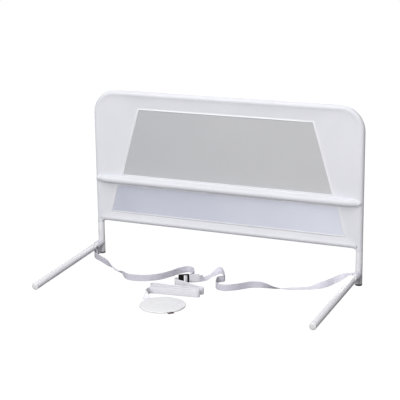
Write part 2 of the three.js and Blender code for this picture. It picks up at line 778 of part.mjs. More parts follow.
// Stations of webbing at the points of a route, which give place, twist and rise
function webbingStations(route) {
  const places = route.map(([x, y, , rise]) => new THREE.Vector3(x, y, rise));
  const curve = new THREE.CatmullRomCurve3(places, false, 'centripetal');
  return route.map(([x, y, turn, rise], i) => {
    const forward = curve.getTangent(i / (route.length - 1)).setZ(0).normalize();
    const flat = new THREE.Vector3(0, 0, 1).cross(forward);
    const twist = turn * degree;
    const up = new THREE.Vector3(0, 0, Math.cos(twist)).addScaledVector(flat, Math.sin(twist));
    const half = Math.abs(Math.cos(twist)) * webbingWidth + Math.abs(Math.sin(twist)) * webbingThickness;
    return station(new THREE.Vector3(x, y, rise + half / 2 + webbingLift), forward, up);
  });
}

// The webbing's section, thickness across and width up
function webbingSection() {
  return flatSection(webbingThickness, webbingWidth, selvedge);
}

// Length of the line through stations
function routeLength(stations) {
  let length = 0;
  for (let i = 1; i < stations.length; i += 1) {
    length += stations[i].at.distanceTo(stations[i - 1].at);
  }
  return length;
}

// Stations of the hank: runs that zigzag on edge, joined by half-round folds
function hankStations() {
  const up = new THREE.Vector3(0, 0, 1);
  const height = webbingWidth / 2 + webbingLift;
  const rightAt = (k) => new THREE.Vector3(hankRightX, hankRightY - k * hankRightSpacing, height);
  const leftAt = (k) => new THREE.Vector3(hankLeftX, hankLeftY - k * hankLeftSpacing, height);
  const stations = [];
  const addFold = (from, to, turn) => {
    const middle = from.clone().add(to).multiplyScalar(0.5);
    const arm = from.clone().sub(middle);
    for (let i = 0; i <= hankFoldSteps; i += 1) {
      const angle = turn * (i / hankFoldSteps) * Math.PI;
      const spoke = arm.clone().applyAxisAngle(up, angle);
      const forward = spoke.clone().normalize().cross(up).multiplyScalar(-turn);
      stations.push(station(middle.clone().add(spoke), forward, up));
    }
  };
  addFold(rightAt(-1), rightAt(0), -1);
  for (let k = 0; k < hankLayers; k += 1) {
    const leftward = k % 2 === 0;
    const from = leftward ? rightAt(k) : leftAt(k);
    const last = k === hankLayers - 1;
    const to = leftward ? leftAt(k) : rightAt(k);
    if (last) to.lerp(from, (hankEndX - hankLeftX) / (hankRightX - hankLeftX));
    const forward = to.clone().sub(from).normalize();
    for (let i = 1; i < hankRunSteps; i += 1) {
      stations.push(station(from.clone().lerp(to, i / hankRunSteps), forward, up));
    }
    if (last) stations.push(station(to, forward, up));
    else addFold(to, leftward ? leftAt(k + 1) : rightAt(k + 1), leftward ? 1 : -1);
  }
  return stations;
}

// Least gap between the hank's surface and itself, taken between points two folds' width apart
function leastGap(stations) {
  let least = Infinity;
  for (let i = 0; i < stations.length; i += 1) {
    for (let j = i + hankFoldSteps + 1; j < stations.length; j += 1) {
      const a = stations[j - 1].at;
      const b = stations[j].at;
      const line = new THREE.Line3(a, b);
      const near = line.closestPointToPoint(stations[i].at, true, new THREE.Vector3());
      least = Math.min(least, near.distanceTo(stations[i].at) - webbingThickness);
    }
  }
  return least;
}

// Main strap and the tail's three stretches
function makeStraps() {
  const section = webbingSection();
  const main = webbingStations(mainRoute);
  const lead = webbingStations(leadRoute);
  const run = webbingStations(runRoute);
  const hank = hankStations();
  const gap = leastGap(hank);
  console.log(`main strap ${routeLength(main).toFixed(0)} mm, tail lead ${routeLength(lead).toFixed(0)}, `
    + `hank ${routeLength(hank).toFixed(0)}, run ${routeLength(run).toFixed(0)} mm`);
  console.log(`least gap of the hank to itself ${gap.toFixed(2)} mm`);
  piece(rail, 'main_strap', alongStations(section, main), webbing);
  piece(rail, 'tail_strap_lead', alongStations(section, lead), webbing);
  piece(rail, 'tail_strap_hank', alongStations(section, hank), webbing);
  piece(rail, 'tail_strap_run', alongStations(section, run), webbing);
}

// Buckle and tab stand on edge in one group; their local X runs from the lip to the tab
function makeBuckleAndTab() {
  const stand = new THREE.Group();
  stand.position.set(buckleX, buckleY, buckleLift);
  stand.rotation.z = buckleHeading * degree;
  rail.add(stand);
  makeBuckle(stand);
  makeTab(stand);
}

// Ladder-lock buckle: a frame with two slots and a slanted lip
function makeBuckle(stand) {
  const half = buckleLength / 2;
  const outline = new THREE.Shape([
    [-half, buckleLipRise], [-half, buckleHeight],
    [half - buckleCorner, buckleHeight], [half, buckleHeight - buckleCorner],
    [half, buckleCorner], [half - buckleCorner, 0], [-buckleLipFoot, 0],
  ].map(([x, z]) => new THREE.Vector2(x, z)).reverse());
  let body = solid(standing(outline, buckleThickness));
  const firstSlot = half - buckleEndBar;
  for (const right of [firstSlot, firstSlot - buckleSlot - buckleBar]) {
    const slot = new THREE.BoxGeometry(buckleSlot, 2 * buckleThickness, buckleSlotHeight)
      .translate(right - buckleSlot / 2, 0, buckleHeight / 2);
    body = body.subtract(solid(slot));
  }
  piece(stand, 'strap_buckle', shape(body), blackPlastic);
}

// Webbing tab: a loop round the buckle's middle bar, led behind its end bar to a flat sleeve
// that the main strap runs through
function makeTab(stand) {
  const half = buckleLength / 2;
  const loopIn = buckleThickness / 2 + seatGap;
  const loopOut = loopIn + tabPly;
  const barOut = half - buckleEndBar - buckleSlot + seatGap;
  const barIn = barOut - buckleBar - 2 * seatGap;
  const low = (buckleHeight - buckleSlotHeight) / 2 + seatGap;
  const width = buckleSlotHeight - 2 * seatGap;
  const ply = (fromX, toX, fromY, toY) => solid(
    new THREE.BoxGeometry(toX - fromX, toY - fromY, width)
      .translate((fromX + toX) / 2, (fromY + toY) / 2, low + width / 2),
  );
  const ring = ply(barIn - tabPly, barOut + tabPly, -loopOut, loopOut);
  const eye = new THREE.BoxGeometry(barOut - barIn, 2 * loopIn, tabHeight + cutOverrun)
    .translate((barIn + barOut) / 2, 0, tabHeight / 2);
  const loop = ring.subtract(solid(eye));
  const sleeveIn = webbingThickness / 2 + tabRoom;
  const sleeveOut = sleeveIn + tabPly;
  const bend = half + seatGap;
  const sleeveStart = bend + tabBridge;
  const back = ply(barOut, bend + tabPly, loopIn, loopOut);
  const jog = ply(bend, bend + tabPly, -sleeveOut, loopOut);
  const bridge = ply(bend, sleeveStart + tabPly, -sleeveOut, -sleeveIn);
  const sleeveMiddle = sleeveStart + tabSleeveLength / 2;
  const sleeve = solid(new THREE.BoxGeometry(tabSleeveLength, 2 * sleeveOut, tabHeight)
    .translate(sleeveMiddle, 0, tabHeight / 2));
  const tunnelHeight = webbingWidth + 2 * tabRoom;
  const tunnel = solid(new THREE.BoxGeometry(tabSleeveLength + cutOverrun, 2 * sleeveIn, tunnelHeight)
    .translate(sleeveMiddle, 0, webbingWidth / 2 + webbingLift - buckleLift));
  const body = loop.add(back).add(jog).add(sleeve.subtract(tunnel)).add(bridge);
  piece(stand, 'strap_tab', shape(body), webbing);
}

// Anchor disc: a crowned plate on a skirt, with a raised ring, a boss under it and two notches
function makeDisc() {
  const radius = discDiameter / 2;
  const under = discHeight - discPlate;
  const crownAt = (r) => discHeight + discCrown * (1 - (r / radius) ** 2);
  const ringIn = discRingRadius - discRingWidth / 2;
  const ringOut = discRingRadius + discRingWidth / 2;
  const strapTop = webbingThickness + webbingLift + seatGap - discLift;
  const plate = revolved([
    [0, strapTop], [discBossRadius, strapTop], [discBossRadius, under],
    [radius - discSkirt, under], [radius - discSkirt, 0], [radius - discEdge, 0],
    [radius, discEdge], [radius, discHeight - discSkirt / 2],
    [radius - discSkirt / 2, discHeight],
    [ringOut + discRingHeight, crownAt(ringOut)], [ringOut, crownAt(ringOut) + discRingHeight],
    [ringIn, crownAt(ringIn) + discRingHeight], [ringIn - discRingHeight, crownAt(ringIn)],
    [discBossRadius, crownAt(discBossRadius)], [0, crownAt(0)],
  ], discSides);
  const notchWidth = webbingWidth + 2 * notchRoom;
  const notch = new THREE.BoxGeometry(discSkirt * cutOverrun, notchWidth, 2 * under)
    .translate(radius, 0, 0).rotateZ(strapNotchHeading * degree);
  const tagNotch = new THREE.BoxGeometry(discSkirt * cutOverrun, tagWidth + 2 * notchRoom, 2 * under)
    .translate(radius, 0, 0).rotateZ(tagHeading * degree);
  const body = solid(plate).subtract(solid(notch)).subtract(solid(tagNotch));
  piece(rail, 'anchor_disc', shape(body), whitePlastic).position.set(discX, discY, discLift);
  const tag = new THREE.BoxGeometry(tagLength, tagWidth, tagThickness)
    .translate(radius + tagProud - tagLength / 2, 0, tagThickness / 2)
    .rotateZ(tagHeading * degree);
  piece(rail, 'anchor_tag', tag, redCloth).position.set(discX, discY, discLift);
}

makeFrameTube();
makeFrameSleeve();
makePanel();
makeMidBar();
makeMidSleeve();
makeBottomBar();
makeBottomSleeve();
for (const [side, hand] of [[-1, 'left'], [1, 'right']]) {
  makePost(side, hand);
  makeArm(side, hand);
}
makeStraps();
makeBuckleAndTab();
makeDisc();

// The origin lies under the middle of the rail, measured without its webbing
rail.updateMatrixWorld(true);
const extent = new THREE.Box3();
for (const mesh of rail.getObjectsByProperty('isMesh', true)) {
  if (!/strap|anchor/.test(mesh.name)) extent.expandByObject(mesh, true);
}
rail.position.y = -extent.getCenter(new THREE.Vector3()).y;
console.log(`rail moved by ${rail.position.y.toFixed(3)} mm along Y`);

export default rail;
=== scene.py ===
"""Folding guard rail for a bed: cloth cover on a tube frame, two folding arms and a webbing strap."""
import logging
import math
from dataclasses import dataclass
from enum import Enum
from typing import Callable, Sequence

import bmesh
import bpy
from mathutils import Matrix, Vector


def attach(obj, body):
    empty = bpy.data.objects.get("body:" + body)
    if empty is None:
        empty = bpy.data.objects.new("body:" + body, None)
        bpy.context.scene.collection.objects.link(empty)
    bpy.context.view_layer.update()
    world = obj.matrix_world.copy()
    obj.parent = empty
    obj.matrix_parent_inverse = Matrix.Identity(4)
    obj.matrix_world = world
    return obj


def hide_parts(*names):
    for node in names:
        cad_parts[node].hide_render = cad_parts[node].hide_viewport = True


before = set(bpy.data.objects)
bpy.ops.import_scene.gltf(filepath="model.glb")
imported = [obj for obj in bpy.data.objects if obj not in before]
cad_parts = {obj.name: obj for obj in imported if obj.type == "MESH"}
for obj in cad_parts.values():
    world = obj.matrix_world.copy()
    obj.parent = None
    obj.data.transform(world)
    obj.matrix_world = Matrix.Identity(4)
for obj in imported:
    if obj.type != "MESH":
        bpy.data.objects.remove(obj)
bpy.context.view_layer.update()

LOG = logging.getLogger("guard_rail")
MM = 0.001
RAIL_SHIFT = 0.244893
ALONG_RAIL, BACKWARD, UP = Vector((1, 0, 0)), Vector((0, 1, 0)), Vector((0, 0, 1))
QUARTER = math.pi / 2
WHITE = (1.0, 1.0, 1.0, 1.0)
Piece = bpy.types.Object
Node = bpy.types.Node
Socket = bpy.types.NodeSocket
Outputs = bpy.types.NodeOutputs
Pair = tuple[float, float]
Point = tuple[float, float, float]
Colour = tuple[int, int, int]
Route = Sequence[tuple[float, ...]]


# Placing and making meshes

def at(x: float, y: float, z: float) -> Vector:
    """Turns a place on the rail, in millimetres from the posts' line, into the scene's metres."""
    return Vector((x * MM, y * MM + RAIL_SHIFT, z * MM))


def metres(x: float, y: float, z: float) -> Vector:
    """Turns a place in millimetres about a piece's own origin into metres."""
    return Vector((x * MM, y * MM, z * MM))


def arc(radius: float, start: float, end: float, steps: int, centre: Pair = (0.0, 0.0)) -> list[Pair]:
    """Gives points on a round arc.

    Args:
        radius: The arc's radius.
        start: Angle of the first point, in degrees.
        end: Angle of the last point, in degrees.
        steps: Number of steps between them.
        centre: The arc's centre.

    Returns:
        The points, one more than the steps.
    """
    angles = [math.radians(start + (end - start) * i / steps) for i in range(steps + 1)]
    return [(centre[0] + radius * math.cos(a), centre[1] + radius * math.sin(a)) for a in angles]


def read_table(table: Sequence[Pair], height: float) -> float:
    """Reads a value from a table of heights, straight between its rows.

    Args:
        table: Heights and values, from the lowest up.
        height: The height asked for.

    Returns:
        The value there, or the nearest row's outside the table.
    """
    height = min(max(height, table[0][0]), table[-1][0])
    rows = zip(table, table[1:])
    (low, first), (high, last) = next(pair for pair in rows if height <= pair[1][0])
    return first + (last - first) * (height - low) / (high - low)


def deselect() -> None:
    """Leaves edit mode and deselects every object."""
    if bpy.context.object and bpy.context.object.mode != "OBJECT":
        bpy.ops.object.mode_set(mode="OBJECT")
    bpy.ops.object.select_all(action="DESELECT")


def activate(piece: Piece) -> None:
    """Makes one object the only selected one and the active one.

    Args:
        piece: The object.
    """
    deselect()
    piece.select_set(True)
    bpy.context.view_layer.objects.active = piece


def edit(piece: Piece, *steps: Callable[[], object]) -> None:
    """Runs edit mode steps, each on the whole of a piece.

    Args:
        piece: The piece to open.
        steps: What is done to it, in order.
    """
    activate(piece)
    bpy.ops.object.mode_set(mode="EDIT")
    for step in steps:
        bpy.ops.mesh.select_all(action="SELECT")
        step()
    bpy.ops.object.mode_set(mode="OBJECT")


def face_outwards() -> None:
    """Turns the selected faces outwards."""
    bpy.ops.mesh.normals_make_consistent(inside=False)


def modify(piece: Piece, kind: str, **settings: object) -> None:
    """Adds one modifier to a piece and applies it.

    Args:
        piece: The piece to change.
        kind: Blender's name of the modifier's type.
        settings: Values of the modifier.
    """
    activate(piece)
    modifier = piece.modifiers.new(kind.lower(), kind)
    for name, value in settings.items():
        setattr(modifier, name, value)
    bpy.ops.object.modifier_apply(modifier=modifier.name)


def bevel(piece: Piece, width: float, degrees: float, segments: int = 2) -> None:
    """Rounds the edges of a piece that are sharper than an angle.

    Args:
        piece: The piece to change.
        width: Width of the rounding in millimetres.
        degrees: The angle.
        segments: Steps of the rounding.
    """
    modify(piece, "BEVEL", width=width * MM, segments=segments, limit_method="ANGLE",
           angle_limit=math.radians(degrees))


def carve(piece: Piece, cutter: Piece, way: str = "DIFFERENCE") -> None:
    """Cuts, joins or intersects a piece with a cutter, which is removed.

    Args:
        piece: The piece that stays.
        cutter: The piece that is used up.
        way: DIFFERENCE, UNION or INTERSECT.
    """
    modify(piece, "BOOLEAN", operation=way, object=cutter, solver="EXACT")
    bpy.data.objects.remove(cutter)


def settle(piece: Piece) -> Piece:
    """Moves an object's place, turn and scale into its mesh.

    Args:
        piece: The object.

    Returns:
        The same object.
    """
    activate(piece)
    bpy.ops.object.transform_apply(location=True, rotation=True, scale=True)
    return piece


def put(piece: Piece, place: Vector, turn: Point = (0.0, 0.0, 0.0)) -> Piece:
    """Turns a piece, moves it to its place and keeps both in its mesh.

    Args:
        piece: The piece, built about the origin.
        place: Its place in metres.
        turn: Its turns about X, Y and Z.

    Returns:
        The same piece.
    """
    piece.rotation_euler = turn
    piece.location = place
    return settle(piece)


def join(pieces: Sequence[Piece]) -> Piece:
    """Joins pieces into the first of them.

    Args:
        pieces: The pieces, of which the first stays.

    Returns:
        The first piece.
    """
    activate(pieces[0])
    for piece in pieces[1:]:
        piece.select_set(True)
    bpy.ops.object.join()
    return pieces[0]


def mesh_piece(name: str, points: Sequence[Vector], edges: Sequence[Sequence[int]],
               faces: Sequence[Sequence[int]], maps: Sequence[Pair] = ()) -> Piece:
    """Makes an object from points, edges and faces, with a UV map in metres.

    Args:
        name: The piece's name.
        points: Vertex places in metres.
        edges: Vertex numbers of the edges that no face has.
        faces: Vertex numbers of each face.
        maps: One UV place for each corner of each face, in order.

    Returns:
        The new object.
    """
    mesh = bpy.data.meshes.new(name)
    mesh.from_pydata(points, edges, faces)
    if maps:
        layer = mesh.uv_layers.new(name="surface")
        for loop, place in zip(layer.data, maps):
            loop.uv = place
    piece = bpy.data.objects.new(name, mesh)
    bpy.context.collection.objects.link(piece)
    return piece


@dataclass(frozen=True)
class Stop:
    """One place on a swept piece: where it is and which way its section lies."""

    place: Vector
    across: Vector
    upward: Vector
    wide: float = 1.0
    high: float = 1.0


def sweep(name: str, section: Sequence[Pair], stops: Sequence[Stop], closed: bool = False) -> Piece:
    """Carries a closed section along stops and gives the skin a UV map in metres.

    Args:
        name: The piece's name.
        section: Outline in millimetres, across and up.
        stops: Places that the section passes through.
        closed: True where the last stop joins the first.

    Returns:
        The swept piece, capped at its ends unless it is closed.
    """
    count = len(section)
    rim = [0.0]
    for a, b in zip(section, [*section[1:], section[0]]):
        rim.append(rim[-1] + math.dist(a, b) * MM)
    run = [0.0]
    ring = [*stops, stops[0]] if closed else list(stops)
    for a, b in zip(ring, ring[1:]):
        run.append(run[-1] + (b.place - a.place).length)
    points = [s.place + s.across * (x * s.wide * MM) + s.upward * (y * s.high * MM)
              for s in stops for x, y in section]
    faces: list[tuple[int, ...]] = []
    maps: list[Pair] = []
    for i in range(len(ring) - 1):
        a, b = i * count, ((i + 1) % len(stops)) * count
        for j in range(count):
            k = (j + 1) % count
            faces.append((a + j, b + j, b + k, a + k))
            maps += [(rim[j], run[i]), (rim[j], run[i + 1]),
                     (rim[j + 1], run[i + 1]), (rim[j + 1], run[i])]
    if not closed:
        last = (len(stops) - 1) * count
        faces += [tuple(range(count)), tuple(last + j for j in reversed(range(count)))]
        flat = [(x * MM, y * MM) for x, y in section]
        maps += flat + flat[::-1]
    piece = mesh_piece(name, points, [], faces, maps)
    edit(piece, face_outwards)
    return piece


def round_section(radius: float, sides: int) -> list[Pair]:
    """Gives the outline of a round section in millimetres."""
    return arc(radius, 0, 360, sides)[:-1]


def cylinder(name: str, radius: float, start: Vector, end: Vector, sides: int = 64) -> Piece:
    """Adds a cylinder between two places.

    Args:
        name: The piece's name.
        radius: Radius in millimetres.
        start: One end's centre in metres.
        end: The other end's centre in metres.
        sides: Number of faces round it.

    Returns:
        The new object, with its place in its mesh.
    """
    deselect()
    axis = end - start
    turn = axis.to_track_quat("Z", "Y").to_euler()
    bpy.ops.mesh.primitive_cylinder_add(vertices=sides, radius=radius * MM, depth=axis.length,
                                        location=(start + end) / 2, rotation=turn)
    bpy.context.object.name = name
    return settle(bpy.context.object)


def open_tube(name: str, radius: float, start: Vector, end: Vector, edge: float) -> Piece:
    """Adds a tube, open at both ends, with rounded mouths.

    Args:
        name: The piece's name.
        radius: Outer radius in millimetres.
        start: One end's centre in metres.
        end: The other end's centre in metres.
        edge: Width of the rounding in millimetres.

    Returns:
        The tube.
    """
    wall, facing = 1.3, 0.9
    piece = cylinder(name, radius, start, end)
    axis = (end - start).normalized()
    activate(piece)
    bpy.ops.object.mode_set(mode="EDIT")
    bpy.ops.mesh.select_mode(type="FACE")
    bpy.ops.mesh.select_all(action="DESELECT")
    for face in bmesh.from_edit_mesh(piece.data).faces:
        face.select_set(abs(face.normal.dot(axis)) > facing)
    bmesh.update_edit_mesh(piece.data)
    bpy.ops.mesh.inset(thickness=wall * MM)
    bpy.ops.mesh.delete(type="FACE")
    bpy.ops.object.mode_set(mode="OBJECT")
    bevel(piece, edge, 40)
    return piece


def block(name: str, low: Point, high: Point) -> Piece:
    """Adds a box between two corners, as a cutter or the start of a piece.

    Args:
        name: The piece's name.
        low: Lowest corner in millimetres.
        high: Highest corner in millimetres.

    Returns:
        The new object, with its place in its mesh.
    """
    deselect()
    low_end, high_end = metres(*low), metres(*high)
    bpy.ops.mesh.primitive_cube_add(size=1, location=(low_end + high_end) / 2)
    piece = bpy.context.object
    piece.name = name
    piece.scale = high_end - low_end
    return settle(piece)


def turned(name: str, profile: Sequence[Pair], sides: int = 64) -> Piece:
    """Spins a half profile of radius and height about the upright axis.

    Args:
        name: The piece's name.
        profile: Pairs of radius and height in millimetres, first and last on the axis.
        sides: Steps of the spin.

    Returns:
        The turned piece, standing at the origin.
    """
    points = [metres(r, 0, h) for r, h in profile]
    piece = mesh_piece(name, points, [(i, i + 1) for i in range(len(points) - 1)], [])
    edit(piece,
         lambda: bpy.ops.mesh.spin(steps=sides, angle=2 * math.pi, center=(0, 0, 0), axis=UP),
         lambda: bpy.ops.mesh.remove_doubles(threshold=1e-7),
         face_outwards)
    return piece


def plate(name: str, outline: Sequence[Vector], thickness: Vector) -> Piece:
    """Extrudes a flat outline into a plate.

    Args:
        name: The piece's name.
        outline: Corners in metres, in order.
        thickness: How far and which way the outline is extruded, in metres.

    Returns:
        The new object.
    """
    piece = mesh_piece(name, outline, [], [tuple(range(len(outline)))])
    edit(piece, lambda: bpy.ops.mesh.extrude_region_move(TRANSFORM_OT_translate={"value": thickness}),
         face_outwards)
    return piece


def cloth_grid(name: str, rows: Sequence[Sequence[Vector]], thickness: float, flipped: bool = False,
               hole: Callable[[int, int], bool] = lambda row, column: False) -> tuple[Piece, float]:
    """Makes a thin sheet from rows of points.

    Args:
        name: The piece's name.
        rows: The rows of points in metres, from the lowest up.
        thickness: Thickness in millimetres.
        flipped: True where the sheet faces away from the arms.
        hole: Says which cells, by row and column, are left open.

    Returns:
        The sheet and its flat area in square metres.
    """
    wide = len(rows[0])
    points = [point for row in rows for point in row]
    faces: list[tuple[int, ...]] = []
    for i in range(len(rows) - 1):
        for j in range(wide - 1):
            if not hole(i, j):
                a = i * wide + j
                ring = (a, a + 1, a + 1 + wide, a + wide)
                faces.append(ring[::-1] if flipped else ring)
    maps = [(points[k].x, points[k].z) for face in faces for k in face]
    piece = mesh_piece(name, points, [], faces, maps)
    area = sum(face.area for face in piece.data.polygons)
    edit(piece, bpy.ops.mesh.delete_loose)
    modify(piece, "SOLIDIFY", thickness=thickness * MM, offset=-1.0)
    return piece, area


# Finishes

def linear(red: int, green: int, blue: int) -> tuple[float, float, float, float]:
    """Turns an 8-bit colour into the linear values that a shader takes.

    Args:
        red: Red from 0 to 255.
        green: Green from 0 to 255.
        blue: Blue from 0 to 255.

    Returns:
        Linear red, green, blue and an alpha of one.
    """
    def one(value: int) -> float:
        """Turns one channel into its linear value."""
        share = value / 255
        return share / 12.92 if share <= 0.04045 else ((share + 0.055) / 1.055) ** 2.4
    return one(red), one(green), one(blue), 1.0


class Tree:
    """Adds nodes to one shader tree and links them."""

    def __init__(self, tree: bpy.types.NodeTree) -> None:
        """Takes the tree that the nodes go into."""
        self.tree = tree

    def fill(self, node: Node, inputs: dict[str | int, object]) -> Node:
        """Fills the input sockets of a node.

        Args:
            node: The node.
            inputs: Values or output sockets for its sockets, by name or number.

        Returns:
            The same node.
        """
        for name, value in inputs.items():
            if isinstance(value, Socket):
                self.tree.links.new(value, node.inputs[name])
            else:
                node.inputs[name].default_value = value
        return node

    def add(self, kind: str, inputs: dict[str | int, object] | None = None, **settings: object) -> Node:
        """Adds one node.

        Args:
            kind: The node's type.
            inputs: Values or output sockets for its input sockets, by name or number.
            settings: Values of the node itself.

        Returns:
            The new node.
        """
        node = self.tree.nodes.new(kind)
        for name, value in settings.items():
            setattr(node, name, value)
        return self.fill(node, inputs or {})

    def effect(self, group: bpy.types.NodeTree, **inputs: object) -> Outputs:
        """Places a shared effect and gives its output sockets."""
        return self.add("ShaderNodeGroup", inputs, node_tree=group).outputs

    def calc(self, operation: str, first: object, second: object = 0.0, third: object = 0.0) -> Socket:
        """Adds one sum of values or sockets and gives its result."""
        return self.add("ShaderNodeMath", {0: first, 1: second, 2: third}, operation=operation).outputs[0]

    def blend(self, share: object, first: object, second: object) -> Socket:
        """Mixes two colours by the share of the second."""
        return self.add("ShaderNodeMix", {0: share, 6: first, 7: second}, data_type="RGBA").outputs[2]

    def axes(self, place: Socket) -> Outputs:
        """Splits a place into its three distances."""
        return self.add("ShaderNodeSeparateXYZ", {0: place}).outputs

    def spread(self, value: Socket, low: float, high: float, first: float = 0.0,
               last: float = 1.0) -> Socket:
        """Turns values from low to high into values from first to last."""
        return self.add("ShaderNodeMapRange", {0: value, 1: low, 2: high, 3: first, 4: last}).outputs[0]

    def noise(self, place: Socket, scale: object, detail: float, roughness: float = 0.5) -> Socket:
        """Adds a cloudy noise and gives its value."""
        inputs = {"Vector": place, "Scale": scale, "Detail": detail, "Roughness": roughness}
        return self.add("ShaderNodeTexNoise", inputs).outputs[0]


class Group(Tree):
    """A shader node group with named inputs and outputs."""

    def __init__(self, name: str, inputs: Sequence[str], outputs: Sequence[str]) -> None:
        """Starts the group.

        Args:
            name: The group's name.
            inputs: Names of its inputs, of which Place is a vector and the rest are numbers.
            outputs: Names of its outputs, all numbers.
        """
        super().__init__(bpy.data.node_groups.new(name, "ShaderNodeTree"))
        for label in inputs:
            kind = "NodeSocketVector" if label == "Place" else "NodeSocketFloat"
            self.tree.interface.new_socket(label, in_out="INPUT", socket_type=kind)
        for label in outputs:
            self.tree.interface.new_socket(label, in_out="OUTPUT", socket_type="NodeSocketFloat")
        self.given = self.add("NodeGroupInput").outputs
        self.leave = self.add("NodeGroupOutput")

    def give(self, **results: Socket) -> bpy.types.NodeTree:
        """Links the results to the outputs and gives the finished group."""
        self.fill(self.leave, results)
        return self.tree


class Effects:
    """The shader node groups that the finishes share."""

    def __init__(self) -> None:
        """Builds each group once."""
        self.weave = self.make_weave()
        self.net = self.make_net()
        self.tone = self.make_tone()
        self.stitch = self.make_stitch()
        self.scuff = self.make_scuff()

    @staticmethod
    def make_weave() -> bpy.types.NodeTree:
        """Makes the plain weave of over and under threads.

        Returns:
            A group that gives the threads' height and the shade between them.
        """
        group = Group("weave_threads", ["Place", "Across", "Along"], ["Height", "Gap"])
        axes = group.axes(group.given["Place"])
        u = group.calc("SINE", group.calc("MULTIPLY", axes[0], group.given["Across"]))
        v = group.calc("SINE", group.calc("MULTIPLY", axes[1], group.given["Along"]))
        over = group.calc("MULTIPLY", u, v)
        gap = group.calc("SUBTRACT", 1.0, group.calc("ABSOLUTE", over))
        height = group.calc("MULTIPLY_ADD", over, 0.5, 0.5)
        return group.give(Height=height, Gap=group.calc("POWER", gap, 3.0))

    @staticmethod
    def make_net() -> bpy.types.NodeTree:
        """Makes the knitted net with its staggered holes.

        Returns:
            A group that gives the threads' height and their cover, zero in a hole.
        """
        group = Group("net_holes", ["Place", "Cells"], ["Height", "Cover"])
        axes = group.axes(group.given["Place"])
        turns = group.calc("MULTIPLY", group.given["Cells"], math.pi)
        u = group.calc("COSINE", group.calc("MULTIPLY", axes[0], turns))
        v = group.calc("COSINE", group.calc("MULTIPLY", axes[1], turns))
        hole = group.calc("ABSOLUTE", group.calc("MULTIPLY", u, v))
        cover = group.spread(hole, 0.5, 0.75, 1.0, 0.0)
        return group.give(Height=group.calc("SUBTRACT", 1.0, hole), Cover=cover)

    @staticmethod
    def make_tone() -> bpy.types.NodeTree:
        """Makes the slow drift of tone that cloth, paint and plastic show.

        Returns:
            A group that gives a soft mask and a fine grain.
        """
        group = Group("tone_drift", ["Place", "Broad", "Fine"], ["Drift", "Grain"])
        broad = group.noise(group.given["Place"], group.given["Broad"], 3.0)
        fine = group.noise(group.given["Place"], group.given["Fine"], 2.0)
        return group.give(Drift=group.spread(broad, 0.35, 0.65), Grain=fine)

    @staticmethod
    def make_stitch() -> bpy.types.NodeTree:
        """Makes a row of stitches along a line.

        Returns:
            A group that gives one on a stitch and zero elsewhere.
        """
        half_thread, stitched = 0.0005, 0.72
        group = Group("stitch_row", ["Across", "Along", "Line", "Pitch"], ["Thread"])
        side = group.calc("ABSOLUTE", group.calc("SUBTRACT", group.given["Across"], group.given["Line"]))
        near = group.calc("LESS_THAN", side, half_thread)
        beat = group.calc("FRACT", group.calc("DIVIDE", group.given["Along"], group.given["Pitch"]))
        return group.give(Thread=group.calc("MULTIPLY", near, group.calc("LESS_THAN", beat, stitched)))

    @staticmethod
    def make_scuff() -> bpy.types.NodeTree:
        """Makes the faint rub marks on paint, plastic and metal.

        Returns:
            A group that gives a mask of thin marks.
        """
        stretch = (1.0, 5.0, 0.7)
        group = Group("rub_marks", ["Place", "Scale"], ["Marks"])
        drawn = group.add("ShaderNodeMapping", {"Vector": group.given["Place"], "Scale": stretch})
        noise = group.noise(drawn.outputs[0], group.given["Scale"], 6.0, 0.7)
        return group.give(Marks=group.spread(noise, 0.6, 0.72))


EFFECTS = Effects()


class Surface(Enum):
    """Where a finish reads its pattern."""

    OBJECT = "Object"
    UV = "UV"


@dataclass(frozen=True)
class Look:
    """A finished material and the record's slot that it stands for."""

    material: bpy.types.Material
    slot: str


@dataclass(frozen=True)
class Finish:
    """What every finish has: its names, two tones and how they drift, roughness and relief."""

    name: str
    slot: str
    colour: Colour
    shade: Colour
    roughness: float
    surface: Surface = Surface.UV
    drift: float = 0.25
    broad: float = 6.0
    fine: float = 240.0
    depth: float = 0.00012
    sheen: float = 0.0

    def make(self) -> Look:
        """Builds the material: a principled shader that the pattern feeds.

        Returns:
            The material and its slot.
        """
        material = bpy.data.materials.new(self.name)
        material.use_nodes = True
        tree = Tree(material.node_tree)
        places = tree.add("ShaderNodeTexCoord").outputs
        colour, height, more = self.pattern(tree, places[self.surface.value], places[Surface.OBJECT.value])
        bump = tree.add("ShaderNodeBump", {"Height": height, "Distance": self.depth, "Strength": 1.0})
        inputs = {"Roughness": self.roughness, "Base Color": colour, "Normal": bump.outputs[0],
                  "Sheen Weight": self.sheen, **more}
        tree.fill(material.node_tree.nodes["Principled BSDF"], inputs)
        return Look(material, self.slot)

    def pattern(self, tree: Tree, place: Socket, solid: Socket) -> tuple[Socket, Socket, dict[str, object]]:
        """Builds the pattern, which each kind of finish gives.

        Args:
            tree: The material's tree helper.
            place: Where the pattern is read.
            solid: The same place in object coordinates.

        Returns:
            The colour, the height and what else goes into the shader.
        """
        raise NotImplementedError

    def tone(self, tree: Tree, place: Socket) -> Outputs:
        """Places the slow drift of tone at this finish's scales."""
        return tree.effect(EFFECTS.tone, Place=place, Broad=self.broad, Fine=self.fine)

    def tint(self, tree: Tree, drift: Socket, mask: Socket) -> Socket:
        """Mixes the two tones by the slow drift and a mask of the pattern."""
        share = tree.calc("MULTIPLY_ADD", drift, self.drift, mask)
        return tree.blend(share, linear(*self.colour), linear(*self.shade))


